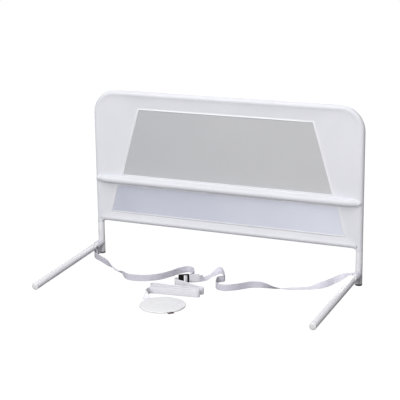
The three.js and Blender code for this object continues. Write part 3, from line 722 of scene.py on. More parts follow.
@dataclass(frozen=True)
class Cloth(Finish):
    """Woven polyester cloth, tight and matt."""

    sheen: float = 0.15
    threads: float = 2200.0
    gap: float = 0.5
    fuzz: float = 0.6
    stitch_lines: tuple[float, ...] = ()
    stitch_pitch: float = 0.0042
    stitch_sink: float = -2.5
    stitch_tint: float = 0.35
    thread: Colour = (186, 187, 195)

    def pattern(self, tree: Tree, place: Socket, solid: Socket) -> tuple[Socket, Socket, dict[str, object]]:
        """Builds the cloth: weave, slow drift of tone, and rows of stitches.

        Args:
            tree: The material's tree helper.
            place: Where the weave is read.
            solid: Where the drift is read.

        Returns:
            The colour, the height and nothing else.
        """
        turns = self.threads * math.pi
        weave = tree.effect(EFFECTS.weave, Place=place, Across=turns, Along=turns)
        tone = self.tone(tree, solid)
        colour = self.tint(tree, tone["Drift"], tree.calc("MULTIPLY", weave["Gap"], self.gap))
        height = tree.calc("MULTIPLY_ADD", tone["Grain"], self.fuzz, weave["Height"])
        axes = tree.axes(place)
        for line in self.stitch_lines:
            row = tree.effect(EFFECTS.stitch, Across=axes[0], Along=axes[1], Line=line,
                              Pitch=self.stitch_pitch)[0]
            height = tree.calc("MULTIPLY_ADD", row, self.stitch_sink, height)
            colour = tree.blend(tree.calc("MULTIPLY", row, self.stitch_tint), colour, linear(*self.thread))
        return colour, height, {}


@dataclass(frozen=True)
class Net(Finish):
    """Knitted net with small open cells, with painted light that makes its colour paler towards the rail's
    right-hand end.
    """

    drift: float = 0.2
    broad: float = 3.0
    fine: float = 300.0
    depth: float = 0.0003
    cells: float = 520.0
    cover: float = 0.25
    reach: float = 0.42
    painted_light_share: float = 0.8

    def pattern(self, tree: Tree, place: Socket, solid: Socket) -> tuple[Socket, Socket, dict[str, object]]:
        """Builds the net: thread relief, holes, a slow drift of tone, and painted light that pales it towards
        the right-hand end.

        Args:
            tree: The material's tree helper.
            place: Where the net is read.
            solid: Not used, as the drift follows the net.

        Returns:
            The colour, the height and the cover.
        """
        net = tree.effect(EFFECTS.net, Place=place, Cells=self.cells)
        # Painted light: the colour is mixed towards the paler tone from the left-hand end to the right-hand
        # end.
        side = tree.spread(tree.axes(place)[0], -self.reach, self.reach, 0.0, self.painted_light_share)
        colour = self.tint(tree, self.tone(tree, place)["Drift"], side)
        return colour, net["Height"], {"Alpha": tree.spread(net["Cover"], 0.0, 1.0, self.cover, 1.0)}


@dataclass(frozen=True)
class Webbing(Finish):
    """Flat woven strap with a chevron weave."""

    drift: float = 0.3
    broad: float = 20.0
    fine: float = 500.0
    depth: float = 0.00025
    sheen: float = 0.2
    picks: float = 900.0
    ends_per_pick: float = 1.6
    chevron: float = 0.00625
    gap: float = 0.6
    fuzz: float = 0.5

    def pattern(self, tree: Tree, place: Socket, solid: Socket) -> tuple[Socket, Socket, dict[str, object]]:
        """Builds the strap: chevron weave, drift of tone and soft fibre.

        Args:
            tree: The material's tree helper.
            place: Where the weave is read.
            solid: Not used, as the drift follows the strap.

        Returns:
            The colour, the height and nothing else.
        """
        axes = tree.axes(place)
        slant = tree.calc("ADD", axes[1], tree.calc("PINGPONG", axes[0], self.chevron))
        folded = tree.add("ShaderNodeCombineXYZ", {0: axes[0], 1: slant}).outputs[0]
        turns = self.picks * math.pi
        weave = tree.effect(EFFECTS.weave, Place=folded, Across=turns * self.ends_per_pick, Along=turns)
        tone = self.tone(tree, place)
        colour = self.tint(tree, tone["Drift"], tree.calc("MULTIPLY", weave["Gap"], self.gap))
        return colour, tree.calc("MULTIPLY_ADD", tone["Grain"], self.fuzz, weave["Height"]), {}


@dataclass(frozen=True)
class Hard(Finish):
    """Paint, moulded plastic or metal, told apart by gloss, grain and metalness."""

    surface: Surface = Surface.OBJECT
    drift: float = 0.35
    broad: float = 9.0
    fine: float = 300.0
    depth: float = 0.000012
    metallic: float = 0.0
    gloss: float = 0.5
    mark_scale: float = 35.0
    mark_tint: float = 0.25
    mark_rough: float = 0.08
    grain_rough: float = 0.06

    def pattern(self, tree: Tree, place: Socket, solid: Socket) -> tuple[Socket, Socket, dict[str, object]]:
        """Builds the hard finish: drift of tone, fine grain, rub marks.

        Args:
            tree: The material's tree helper.
            place: Where the grain and the marks are read.
            solid: Not used, being the same place.

        Returns:
            The colour, the height, the roughness, the metalness and the gloss.
        """
        tone = self.tone(tree, place)
        marks = tree.effect(EFFECTS.scuff, Place=place, Scale=self.mark_scale)[0]
        colour = self.tint(tree, tone["Drift"], tree.calc("MULTIPLY", marks, self.mark_tint))
        base = self.roughness - self.grain_rough / 2
        grain = tree.calc("MULTIPLY_ADD", tone["Grain"], self.grain_rough, base)
        rough = tree.calc("MULTIPLY_ADD", marks, self.mark_rough, grain)
        more = {"Roughness": rough, "Metallic": self.metallic, "Specular IOR Level": self.gloss}
        return colour, tone["Grain"], more


class Finishes:
    """Every finish of the rail, built once."""

    def __init__(self) -> None:
        """Builds the materials."""
        self.cover = Cloth("cover_cloth", "white_cloth", (231, 231, 236), (220, 221, 228), 0.85).make()
        self.binding = Cloth("binding_tape", "white_cloth", (244, 244, 247), (226, 227, 233), 0.8,
                             threads=1600.0, stitch_lines=(0.0016, 0.0070)).make()
        self.hem = Cloth("hem_cloth", "white_cloth", (227, 227, 232), (217, 218, 225), 0.85,
                         stitch_lines=(0.004,)).make()
        # The nets' paler second tones are mixed in by a slow random drift and by painted light towards the
        # right-hand end.
        self.upper_net = Net("upper_net", "upper_net", (184, 185, 189), (194, 194, 197), 0.95).make()
        self.lower_net = Net("lower_net", "lower_net", (188, 192, 209), (226, 229, 242), 0.95).make()
        self.webbing = Webbing("strap_webbing", "webbing", (230, 228, 238), (206, 204, 217), 0.85).make()
        self.tail_webbing = Webbing("tail_webbing", "webbing", (243, 242, 247), (226, 225, 233), 0.85).make()
        self.paint = Hard("white_enamel", "white_paint", (231, 231, 235), (222, 222, 228), 0.44,
                          fine=1300.0, depth=0.000004).make()
        self.plastic = Hard("white_moulding", "white_plastic", (236, 236, 238), (224, 224, 228), 0.42,
                            fine=600.0).make()
        self.grey = Hard("grey_moulding", "grey_plastic", (84, 84, 90), (64, 64, 70), 0.55, fine=600.0).make()
        self.black = Hard("black_moulding", "black_plastic", (8, 8, 10), (20, 19, 23), 0.45,
                          fine=700.0, gloss=0.22).make()
        self.zinc = Hard("zinc_plate", "zinc_steel", (170, 170, 174), (130, 130, 136), 0.38,
                         metallic=0.9).make()
        self.tag = Cloth("tag_cloth", "red_cloth", (66, 10, 22), (50, 7, 16), 0.85, threads=1400.0,
                         stitch_lines=(0.002,)).make()


FINISHES = Finishes()


def dress(piece: Piece, material: bpy.types.Material) -> None:
    """Gives a piece one material all over."""
    piece.data.materials.clear()
    piece.data.materials.append(material)


def hand_over(piece: Piece, look: Look, nodes: Sequence[str] = (), body: str = "rail",
              crease: float = 40.0) -> Piece:
    """Finishes a piece: its shading, its material and the body that it rides on, and hides the CAD nodes that
    it replaces.

    Args:
        piece: The finished piece.
        look: Its material and the record's slot.
        nodes: CAD nodes that it replaces.
        body: The body that it moves with.
        crease: Angle in degrees over which an edge stays sharp.

    Returns:
        The same piece.
    """
    activate(piece)
    bpy.ops.object.shade_smooth_by_angle(angle=math.radians(crease))
    dress(piece, look.material)
    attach(piece, body)
    if nodes:
        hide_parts(*nodes)
    LOG.info("built %s on %s", piece.name, body)
    return piece


# Cloth cover

@dataclass(frozen=True)
class Window:
    """A mesh window, narrower at its top: heights and half widths in millimetres."""

    top: float
    top_half: float
    low: float
    low_half: float

    def half(self, z: float) -> float:
        """Gives the half width at a height."""
        return self.low_half + (self.top_half - self.low_half) * (z - self.low) / (self.top - self.low)


@dataclass
class Cover:
    """Cloth cover: a pocket over the frame, two layers of panel, two nets, hems and bindings."""

    half_span: float = 532.5
    frame_top: float = 647.7
    bend: float = 80.0
    low: float = 150.5
    skin: float = 12.3
    skin_sides: int = 40
    sunk: float = 0.1
    swell: float = 0.3
    swell_reach: float = 2.5
    leave_angle: float = math.radians(15.0)
    tuck: float = 0.28
    tuck_fade: float = 9.0
    layer_gap: float = 1.3
    ply: float = 0.6
    net_ply: float = 0.3
    net_depth: float = 0.35
    net_overlap: float = 3.0
    net_rows: int = 14
    net_columns: int = 30
    upper_flat: Pair = (0.86, 0.27)
    lower_flat: Pair = (0.97, 0.11)
    low_rows: tuple[float, ...] = (0, 2, 4, 6.5, 9, 12, 16, 21, 26)
    middle_rows: tuple[float, ...] = (
        181, 195, 215, 240, 262, 276, 288, 294, 301, 308.5, 315, 322, 330, 345)
    upper_rows: tuple[float, float, int] = (365.0, 21.5, 10)
    top_rows: tuple[float, ...] = (48, 40, 32, 25, 19, 14, 10.5, 8, 6, 4, 2, 0)
    side_shares: tuple[float, ...] = (
        0, 0.015, 0.03, 0.045, 0.065, 0.09, 0.12, 0.16, 0.21, 0.28, 0.38, 0.52, 0.68, 0.84)
    window_steps: int = 24
    upper: Window = Window(591.0, 351.0, 330.0, 428.0)
    lower: Window = Window(288.0, 449.5, 181.0, 479.0)
    seam_depth: tuple[Pair, ...] = (
        (181.0, -6.0), (288.0, -3.4), (308.5, -1.0), (330.0, -2.4), (591.0, -4.0))
    pocket_foot: float = 131.3
    pocket_turns: tuple[float, ...] = (0, 5, 12)
    pocket_rows: tuple[float, ...] = (200, 300, 400, 500)
    pocket_columns: tuple[float, ...] = (-300, -100, 100, 300)
    bend_steps: int = 20
    turned_hem: float = 137.5
    hem_swell: float = 1.055
    bar_height: float = 308.5
    bar_standoff: float = 15.0
    bar_sleeve_radius: float = 13.2
    bar_wrap: float = 98.0
    bar_wrap_steps: int = 24
    bar_foot: float = 1.0
    bar_foot_top: float = 12.6
    tape_steps: int = 12
    tape_section: tuple[Pair, ...] = (
        (-1.2, -0.9), (-0.6, -1.7), (0.4, -1.9), (1.3, -1.5), (1.9, -0.85), (6.8, -0.75), (8.0, -0.5),
        (8.0, 0.2), (-1.2, 0.2))
    sleeve_ends: tuple[Point, ...] = (
        (539.2, 0.64, 0.16), (538.6, 0.66, 0.30), (537.4, 0.68, 0.44), (535.0, 0.70, 0.57),
        (531.5, 0.705, 0.69), (527.0, 0.715, 0.80), (522.0, 0.75, 0.88), (516.0, 0.83, 0.94),
        (509.0, 0.93, 0.98), (502.0, 0.98, 1.0), (494.0, 1.0, 1.0), (380.0, 1.0, 1.0), (190.0, 1.0, 1.0),
        (0.0, 1.0, 1.0))
    window_hem_ends: tuple[Point, ...] = (
        (439.0, 1.0, 0.58), (436.0, 1.0, 0.74), (432.5, 1.0, 0.90), (428.0, 1.0, 1.0), (300.0, 1.0, 1.0),
        (150.0, 1.0, 1.0), (0.0, 1.0, 1.0))
    bottom_hem_ends: tuple[Point, ...] = (
        (524.0, 1.0, 1.52), (520.0, 1.0, 1.42), (516.0, 1.0, 1.24), (512.0, 1.0, 1.12), (508.0, 1.0, 1.05),
        (502.0, 1.0, 1.01), (494.0, 1.0, 1.0), (330.0, 1.0, 1.0), (165.0, 1.0, 1.0), (0.0, 1.0, 1.0))

    def seam(self, z: float) -> float:
        """Gives how far before the frame's plane the seams lie at a height."""
        return read_table(self.seam_depth, z)

    def half_width(self, z: float) -> float:
        """Gives the half width inside the frame's centreline at a height."""
        rise = min(max(z - self.frame_top + self.bend, 0.0), self.bend)
        return self.half_span - self.bend + math.sqrt(self.bend ** 2 - rise ** 2)

    def window_half(self, z: float) -> float:
        """Gives the half width of the windows, or of what lies between them, at a height."""
        windows = (self.lower, self.upper)
        return read_table([row for w in windows for row in ((w.low, w.low_half), (w.top, w.top_half))], z)

    def edge_distance(self, x: float, z: float) -> float:
        """Gives how far inside the frame's centreline and the bottom bar a place is.

        Args:
            x: Distance along the rail.
            z: Height.

        Returns:
            The distance in millimetres, zero outside.
        """
        side, rise = abs(x) - (self.half_span - self.bend), z - (self.frame_top - self.bend)
        if side > 0 and rise > 0:
            inside = self.bend - math.hypot(side, rise)
        else:
            inside = min(self.half_span - abs(x), self.frame_top - z)
        return max(0.0, min(inside, z - self.low))

    def seam_distance(self, x: float, z: float) -> float:
        """Gives how far outside the windows' outline a place is."""
        over = max(0.0, z - self.upper.top, self.lower.low - z)
        return math.hypot(over, max(0.0, abs(x) - self.window_half(z)))

    def depth(self, x: float, z: float, back: bool) -> float:
        """Gives how far a layer of the panel lies from the frame's plane.

        Args:
            x: Distance along the rail.
            z: Height.
            back: True for the layer away from the arms.

        Returns:
            The distance along Y, in millimetres.
        """
        sign = 1.0 if back else -1.0
        seam = self.seam(z) + (self.layer_gap if back else 0.0)
        edge, inner = self.edge_distance(x, z), self.seam_distance(x, z)
        radius = self.skin - self.sunk + self.swell * min(edge / self.swell_reach, 1.0)
        leave = radius * math.sin(self.leave_angle)
        if edge <= leave:
            return sign * math.sqrt(radius ** 2 - edge ** 2)
        drop = abs(sign * radius * math.cos(self.leave_angle) - seam)
        share = min((edge - leave) / max(edge + inner - leave, 1.0), 1.0)
        tucked = self.tuck * math.exp((leave - edge) / self.tuck_fade) + 1 - self.tuck
        return seam + sign * drop * tucked * (1 - share)

    def rows(self) -> list[float]:
        """Gives the heights of the panel's rows.

        Returns:
            The heights, from the bottom bar to the frame's top.
        """
        first, pitch, count = self.upper_rows
        low = [self.low + d for d in self.low_rows]
        upper = [first + pitch * i for i in range(count)]
        top = [self.frame_top - d for d in self.top_rows]
        return [*low, *self.middle_rows, *upper, self.upper.top, *top]

    def columns(self, z: float) -> list[float]:
        """Gives the places of one row's columns: a side, the windows' width, and the other side.

        Args:
            z: The row's height.

        Returns:
            Distances along the rail, from left to right.
        """
        wide, window = self.half_width(z), self.window_half(z)
        side = [wide + (window - wide) * s for s in self.side_shares]
        middle = [window * (2 * i / self.window_steps - 1) for i in range(self.window_steps + 1)]
        return [-x for x in side] + middle + side[::-1]

    def layer(self, name: str, back: bool) -> tuple[Piece, float]:
        """Builds one layer of the panel with both windows left open.

        Args:
            name: The piece's name.
            back: True for the layer away from the arms.

        Returns:
            The layer and its flat area in square metres.
        """
        heights = self.rows()
        rows = [[at(x, self.depth(x, z, back), z) for x in self.columns(z)] for z in heights]
        first = (len(rows[0]) - self.window_steps - 1) // 2

        def in_window(row: int, column: int) -> bool:
            """Says whether a cell of the grid lies in a window.

            Args:
                row: The cell's row.
                column: The cell's column.

            Returns:
                True where the cell is left open.
            """
            middle = (heights[row] + heights[row + 1]) / 2
            opened = any(w.low < middle < w.top for w in (self.lower, self.upper))
            return opened and first <= column < first + self.window_steps
        return cloth_grid(name, rows, self.ply, back, in_window)

    def net(self, name: str, window: Window) -> tuple[Piece, float]:
        """Builds one net, let in between the layers.

        Args:
            name: The piece's name.
            window: Which window it fills.

        Returns:
            The net and its flat area in square metres.
        """
        steps, wide = self.net_rows, self.net_columns
        rows = []
        for i in range(steps + 1):
            z = window.low - self.net_overlap + (window.top - window.low + 2 * self.net_overlap) * i / steps
            half = window.half(z) + self.net_overlap
            y = self.seam(min(max(z, window.low), window.top)) + self.net_depth
            rows.append([at(half * (2 * j / wide - 1), y, z) for j in range(wide + 1)])
        return cloth_grid(name, rows, self.net_ply)

    def pocket(self) -> Piece:
        """Builds the pocket over the frame's tube, with a turned hem at each foot.

        Returns:
            The pocket.
        """
        heights = [*(self.pocket_foot + rise for rise in self.pocket_turns), *self.pocket_rows]
        line = [(-self.half_span, z, ALONG_RAIL) for z in heights]
        centre = (self.bend - self.half_span, self.frame_top - self.bend)
        for x, z in arc(self.bend, 180, 90, self.bend_steps, centre):
            line.append((x, z, Vector((centre[0] - x, 0, centre[1] - z)).normalized()))
        top = [(x, self.frame_top, -UP) for x in self.pocket_columns]
        down = [(-x, z, Vector((-inward.x, 0, inward.z))) for x, z, inward in reversed(line)]
        stops = []
        for x, z, inward in line + top + down:
            swell = self.hem_swell if z < self.turned_hem else 1.0
            stops.append(Stop(at(x, 0, z), inward, BACKWARD, swell, swell))
        return sweep("cover_pocket", round_section(self.skin, self.skin_sides), stops)

    def binding(self, name: str, window: Window) -> Piece:
        """Builds the tape sewn round a window's edge, mitred at its corners.

        Args:
            name: The piece's name.
            window: Which window it binds.

        Returns:
            The tape.
        """
        corners = [Vector((x, 0, z)) for x, z in (
            (-window.low_half, window.low), (window.low_half, window.low),
            (window.top_half, window.top), (-window.top_half, window.top))]
        stops = []
        for k, here in enumerate(corners):
            after = corners[(k + 1) % 4]
            came, goes = (here - corners[k - 1]).normalized(), (after - here).normalized()
            out = Vector((goes.z, 0, -goes.x))
            mitre = (Vector((came.z, 0, -came.x)) + out).normalized()
            for i in range(self.tape_steps):
                place = here.lerp(after, i / self.tape_steps)
                side, stretch = (out, 1.0) if i else (mitre, 1 / max(mitre.dot(out), 0.2))
                stops.append(Stop(at(place.x, self.seam(place.z), place.z), side, BACKWARD, stretch))
        return sweep(name, self.tape_section, stops, closed=True)

    @staticmethod
    def bar_stops(height: float, ends: Sequence[Point]) -> list[Stop]:
        """Gives the stops of a sweep along a bar, alike at both ends.

        Args:
            height: The bar's height.
            ends: Place along the rail, depth share and height share, from one end to the middle.

        Returns:
            The stops from end to end.
        """
        both = [*ends, *((-x, deep, high) for x, deep, high in reversed(ends[:-1]))]
        return [Stop(at(x, 0, height), -BACKWARD, UP, deep, high) for x, deep, high in both]

    def bar_sleeve(self) -> Piece:
        """Builds the sleeve over the middle bar, drawn in at both ends, with the window's hem above it.

        Returns:
            The sleeve with the hem.
        """
        radius, foot = self.bar_sleeve_radius, self.bar_foot
        outline = arc(radius, -self.bar_wrap, self.bar_wrap, self.bar_wrap_steps, (self.bar_standoff, 0.0))
        round_bar = [(foot, -radius), *outline, (foot, self.bar_foot_top)]
        hem = [(foot, 9.0), (12.0, 9.0), outline[-1], (5.2, 15.0), (3.8, 16.6), (3.6, 20.0), (4.3, 21.0),
               (3.9, 22.2), (2.6, 22.6), (foot, 22.2)]
        return join([
            sweep("middle_sleeve", round_bar, self.bar_stops(self.bar_height, self.sleeve_ends)),
            sweep("window_hem", hem, self.bar_stops(self.bar_height, self.window_hem_ends))])

    def bottom_hem(self) -> Piece:
        """Builds the hem round the bottom bar, flared where it meets the legs' pockets.

        Returns:
            The hem.
        """
        stops = self.bar_stops(self.low, self.bottom_hem_ends)
        return sweep("bottom_hem", round_section(self.skin, self.skin_sides), stops)

    def build(self) -> None:
        """Builds the whole cover."""
        front, front_area = self.layer("cover_front", back=False)
        rear, rear_area = self.layer("cover_back", back=True)
        pocket, bar_sleeve, hem = self.pocket(), self.bar_sleeve(), self.bottom_hem()
        upper, upper_area = self.net("net_upper", self.upper)
        lower, lower_area = self.net("net_lower", self.lower)
        tapes = [self.binding("tape_upper", self.upper), self.binding("tape_lower", self.lower)]
        hand_over(front, FINISHES.cover, ["fabric_panel"], crease=60)
        hand_over(rear, FINISHES.cover, crease=60)
        hand_over(pocket, FINISHES.cover, ["frame_sleeve"], crease=50)
        hand_over(bar_sleeve, FINISHES.hem, ["mid_bar_sleeve"], crease=50)
        hand_over(hem, FINISHES.hem, ["bottom_bar_sleeve"], crease=50)
        hand_over(upper, FINISHES.upper_net, ["upper_mesh"], crease=60)
        hand_over(lower, FINISHES.lower_net, ["lower_mesh"], crease=60)
        for tape in tapes:
            hand_over(tape, FINISHES.binding, crease=55)


# Posts and arms

class Hand(Enum):
    """The two ends of the rail."""

    LEFT = "left"
    RIGHT = "right"

    @property
    def side(self) -> int:
        """Gives minus one on the left and one on the right."""
        return -1 if self is Hand.LEFT else 1


@dataclass
class RailEnd:
    """What post and arm share: the end of the rail that they are at and their tube."""

    hand: Hand
    half_span: float = 532.5
    radius: float = 12.7

    def spot(self, height: float) -> Vector:
        """Gives a place on the post's axis, in metres."""
        return at(self.hand.side * self.half_span, 0, height)

    def named(self, word: str) -> str:
        """Gives a name that ends with the hand."""
        return f"{word}_{self.hand.value}"


@dataclass
class Post(RailEnd):
    """Lower post of one leg with its foot cap."""

    low: float = 6.3
    top: float = 130.0
    mouth: float = 0.35
    foot_profile: tuple[Pair, ...] = (
        (0, 0.6), (8.5, 0.6), (9.5, 0), (11.6, 0), (12.6, 0.4), (13.2, 1.4), (13.2, 4.9), (12.8, 5.7),
        (12.2, 6), (11.1, 6), (11.1, 20.8), (9.9, 22), (0, 22))

    def build(self) -> None:
        """Builds the post's tube and its foot cap with rounded rim and spigot."""
        foot, top = self.spot(self.low), self.spot(self.top)
        tube = open_tube(self.named("post_tube"), self.radius, foot, top, self.mouth)
        hand_over(tube, FINISHES.paint, [self.named("lower_post")])
        cap = put(turned(self.named("foot"), self.foot_profile), self.spot(0))
        hand_over(cap, FINISHES.grey, [self.named("foot_cap")], crease=35)


@dataclass
class Arm(RailEnd):
    """One arm: the fixed stub and fork, the pin, and the part that folds up."""

    height: float = 45.0
    droop: float = math.radians(3.6506)
    stub_start: float = 2.0
    stub_end: float = 44.0
    gap: float = 0.3
    pivot: float = 62.0
    shoulder: float = 14.9
    slot: float = 12.0
    slot_floor_gap: float = 2.0
    slot_out: float = 100.0
    bore: float = 3.3
    bore_sides: int = 32
    spot_face: float = 5.3
    spot_depth: float = 11.7
    collar: float = 5.0
    spigot: float = 11.1
    overlap: float = 1.0
    fork_blank: float = 90.0
    fork_spigot: float = 18.0
    tongue_start: float = 20.0
    tongue_root: float = 3.0
    tube_spigot: float = 25.0
    reach: float = 20.0
    tube_span: Pair = (82.2, 500.2)
    mouth: float = 0.3
    loop_place: float = 29.5
    loop_radius: float = 13.85
    loop_wave: float = 0.25
    loop_steps: int = 48
    tail_drop: Pair = (13.4, 41.0)
    tail_sway: float = 0.5
    tail_steps: int = 12
    pin_profile: tuple[Pair, ...] = (
        (0, -13.5), (3.4, -13.3), (4.6, -12.9), (5, -12.3), (5, -12), (3, -12), (3, 12), (5, 12), (5, 12.3),
        (4.6, 12.9), (3.4, 13.3), (0, 13.5))
    cap_profile: tuple[Pair, ...] = (
        (0, 480.5), (9.9, 480.5), (11.1, 483), (11.1, 500.5), (12.6, 500.5), (13, 501), (13, 502.9),
        (12.6, 503.9), (11.4, 504.8), (8.6, 505.5), (4.6, 505.9), (0, 506))

    def done(self, piece: Piece, look: Look, node: str, folds: bool = False, crease: float = 40.0) -> None:
        """Lays a piece that was built along -Y from the origin in the arm's place and hands it over.

        Args:
            piece: The piece.
            look: Its finish.
            node: The CAD node that it replaces, without the hand.
            folds: True where it rides on the arm that folds.
            crease: Angle in degrees over which an edge stays sharp.
        """
        put(piece, self.spot(self.height), (self.droop, 0, 0))
        hand_over(piece, look, [self.named(node)], f"{self.hand.value}_arm" if folds else "rail", crease)

    @staticmethod
    def along(distance: float, side: float = 0.0) -> Vector:
        """Gives a place on the arm's own axis or beside it, in metres."""
        return metres(side, -distance, 0)

    def barrel(self, name: str, start: float, end: float, radius: float | None = None) -> Piece:
        """Adds a round along the arm's axis, of the arm's own radius where none is given."""
        return cylinder(name, radius or self.radius, self.along(start), self.along(end))

    def across(self, name: str, radius: float, start: float, end: float, sides: int = 64) -> Piece:
        """Adds a round across the arm through the pin's place."""
        return cylinder(name, radius, self.along(self.pivot, start), self.along(self.pivot, end), sides)

    def side_cutter(self, name: str, corners: Sequence[Pair], half: float) -> Piece:
        """Makes a plate across the arm from its side outline.

        Args:
            name: The cutter's name.
            corners: Distance along the arm and height, in millimetres.
            half: Half of the plate's thickness in millimetres.

        Returns:
            The cutter.
        """
        outline = [metres(-half, -d, z) for d, z in corners]
        return plate(name, outline, metres(2 * half, 0, 0))

    def stub(self) -> None:
        """Builds the stub, coped to the post with a hair's gap."""
        piece = self.barrel(self.named("stub"), self.stub_start, self.stub_end)
        carve(piece, cylinder("cutter_post", self.radius + self.gap, -UP / 10, UP / 10))
        bevel(piece, 0.4, 50)
        self.done(piece, FINISHES.paint, "arm_stub")

    def fork(self) -> None:
        """Builds the fork: two cheeks, a slot, spot faces for the pin's heads, and a spigot."""
        start = self.stub_end + self.gap
        end, r = self.pivot + self.shoulder - self.gap, self.radius + 0.2
        half, floor = self.slot / 2, self.pivot - self.radius - self.slot_floor_gap
        piece = self.barrel(self.named("fork"), start, self.fork_blank)
        carve(piece, self.across("cutter_pin", self.bore, -self.reach, self.reach, self.bore_sides))
        carve(piece, block("cutter_slot", (-half, -self.slot_out, -self.reach), (half, -floor, self.reach)))
        for side in (-1, 1):
            deep, out = side * self.spot_depth, side * self.reach
            carve(piece, self.across("cutter_spot", self.spot_face, deep, out))
        cheek = [(start, -r), (end, -r), (end, 0), *arc(self.radius, 0, 90, 16, (self.pivot, 0)),
                 (self.pivot, r), (start, r)]
        carve(piece, self.side_cutter("cutter_side", cheek, self.reach), "INTERSECT")
        inner = self.barrel("spigot", start - self.fork_spigot, start + self.overlap, self.spigot)
        carve(piece, inner, "UNION")
        bevel(piece, 0.5, 45)
        self.done(piece, FINISHES.plastic, "hinge_fork")

    def pin(self) -> None:
        """Builds the pin with its two domed heads."""
        piece = turned(self.named("pin"), self.pin_profile, 40)
        put(piece, self.along(self.pivot), (0, QUARTER, 0))
        self.done(piece, FINISHES.zinc, "hinge_pin", crease=35)

    def knuckle(self) -> None:
        """Builds the tongue with its round nose, the collar and the spigot in the tube."""
        root, r = self.pivot + self.shoulder, self.radius - self.gap
        back = root + self.tongue_root
        piece = self.barrel(self.named("knuckle"), self.pivot - self.tongue_start, back)
        nose = [(back, -r), (back, r), *arc(r, 90, 270, 32, (self.pivot, 0))]
        carve(piece, self.side_cutter("cutter_tongue", nose, self.slot / 2 - self.gap), "INTERSECT")
        carve(piece, self.barrel("collar", root, root + self.collar), "UNION")
        inner = root + self.collar - self.overlap
        carve(piece, self.barrel("spigot", inner, root + self.tube_spigot, self.spigot), "UNION")
        carve(piece, self.across("cutter_pin", self.bore, -self.reach, self.reach, self.bore_sides))
        bevel(piece, 0.4, 45)
        self.done(piece, FINISHES.plastic, "arm_knuckle", folds=True)

    def tube_and_cap(self) -> None:
        """Builds the arm's tube and its domed end cap."""
        start, end = self.tube_span
        tube = open_tube(self.named("arm"), self.radius, self.along(start), self.along(end), self.mouth)
        self.done(tube, FINISHES.paint, "arm_tube", folds=True)
        cap = put(turned(self.named("cap"), self.cap_profile), Vector(), (QUARTER, 0, 0))
        self.done(cap, FINISHES.plastic, "arm_cap", folds=True, crease=35)

    def loop(self) -> None:
        """Builds the webbing loop round the stub, and the left one's plain tail."""
        stops = []
        for i in range(self.loop_steps):
            angle = 2 * math.pi * i / self.loop_steps
            spoke = Vector((math.cos(angle), 0, math.sin(angle)))
            radius = self.loop_radius + self.loop_wave * math.sin(3 * angle + 0.6)
            stops.append(Stop(self.along(self.loop_place) + spoke * (radius * MM), spoke, -BACKWARD))
        piece = sweep(self.named("loop"), strap_section(1.5), stops, closed=True)
        if self.hand is Hand.LEFT:
            piece = join([piece, self.tail()])
        self.done(piece, FINISHES.webbing, "strap_loop")

    def tail(self) -> Piece:
        """Builds the two plies that hang from the left loop.

        Returns:
            The tail, in the arm's own frame.
        """
        stops = []
        for i in range(self.tail_steps + 1):
            share = i / self.tail_steps
            drop = self.tail_drop[0] + (self.tail_drop[1] - self.tail_drop[0]) * share
            sway = self.tail_sway * math.sin(share * math.pi)
            stops.append(Stop(metres(sway, -self.loop_place, -drop), ALONG_RAIL, -BACKWARD))
        return sweep("loop_tail", strap_section(3.3), stops)

    def build(self) -> None:
        """Builds the arm, from the post outwards."""
        self.stub()
        self.fork()
        self.pin()
        self.knuckle()
        self.tube_and_cap()
        self.loop()


# Strap, buckle and disc

def strap_section(thickness: float, width: float = 25.0) -> list[Pair]:
    """Gives the strap's section with its rounded selvedges.

    Args:
        thickness: Across, in millimetres.
        width: Up, in millimetres.

    Returns:
        The outline's corners.
    """
    t, w = thickness / 2, width / 2
    edge = [(t, -w + 1.6), (t * 0.85, -w + 0.5), (t * 0.3, -w), (-t * 0.3, -w), (-t * 0.85, -w + 0.5),
            (-t, -w + 1.6)]
    half = edge + [(-t * 0.92, -w * 0.5), (-t, 0), (-t * 0.92, w * 0.5)]
    return half + [(-x, -y) for x, y in half]


# A route's point is a place along and across the rail, then its twist in degrees and its rise, if any
MAIN_ROUTE: Route = (
    (-534, -42.6), (-535, -53), (-530, -66), (-514, -84), (-490, -101), (-455, -126), (-425, -149, -6),
    (-398, -169, -32), (-372, -188, -60), (-349, -206, -65), (-328, -224, -54), (-306, -247, -14),
    (-278, -267), (-250, -271), (-225, -266), (-196, -252), (-165, -222), (-143, -176), (-126, -126),
    (-104, -100), (-78, -112), (-63, -142), (-57, -172), (-57, -192), (-53.6, -201.2), (-49.2, -205.6),
    (-44.5, -206.6), (-41.7, -205.4), (-18.4, -188.4), (-11.5, -180, 8), (-9, -166, 45),
    (-11, -146, 82), (-11, -122, 90), (-6, -98, 90), (1, -78, 62), (9, -68, 18), (19, -69), (33, -87),
    (50, -116), (63, -142), (64, -153), (56, -161), (49, -170), (50, -186), (58, -212), (68, -234),
    (84, -247), (109, -249), (139, -229), (160, -205), (181, -181), (208, -168, -5), (238, -167, -25),
    (268, -166, -55), (296, -154, -76), (318, -137, -88), (347, -121, -90), (388, -100, -100),
    (424, -74, -146), (452, -46, -158, 9), (480, -31, -135, 25), (504, -29, -100, 43),
    (518.6, -29.5, -90, 49.5),
)
LEAD_ROUTE: Route = (
    (-82.5, -235), (-88.5, -240.5), (-90, -251), (-79, -261), (-56, -267), (-28, -277), (6, -290), (28, -298),
    (43.7, -301),
)
RUN_ROUTE: Route = (
    (-120.3, -372.8), (-127, -375), (-131, -383), (-131, -398), (-129, -412, 10), (-122, -425.5, 55),
    (-112, -433.3, 88), (-94.5, -442.3, 90), (-59.9, -460.4, 90), (-28, -477, 90),
)


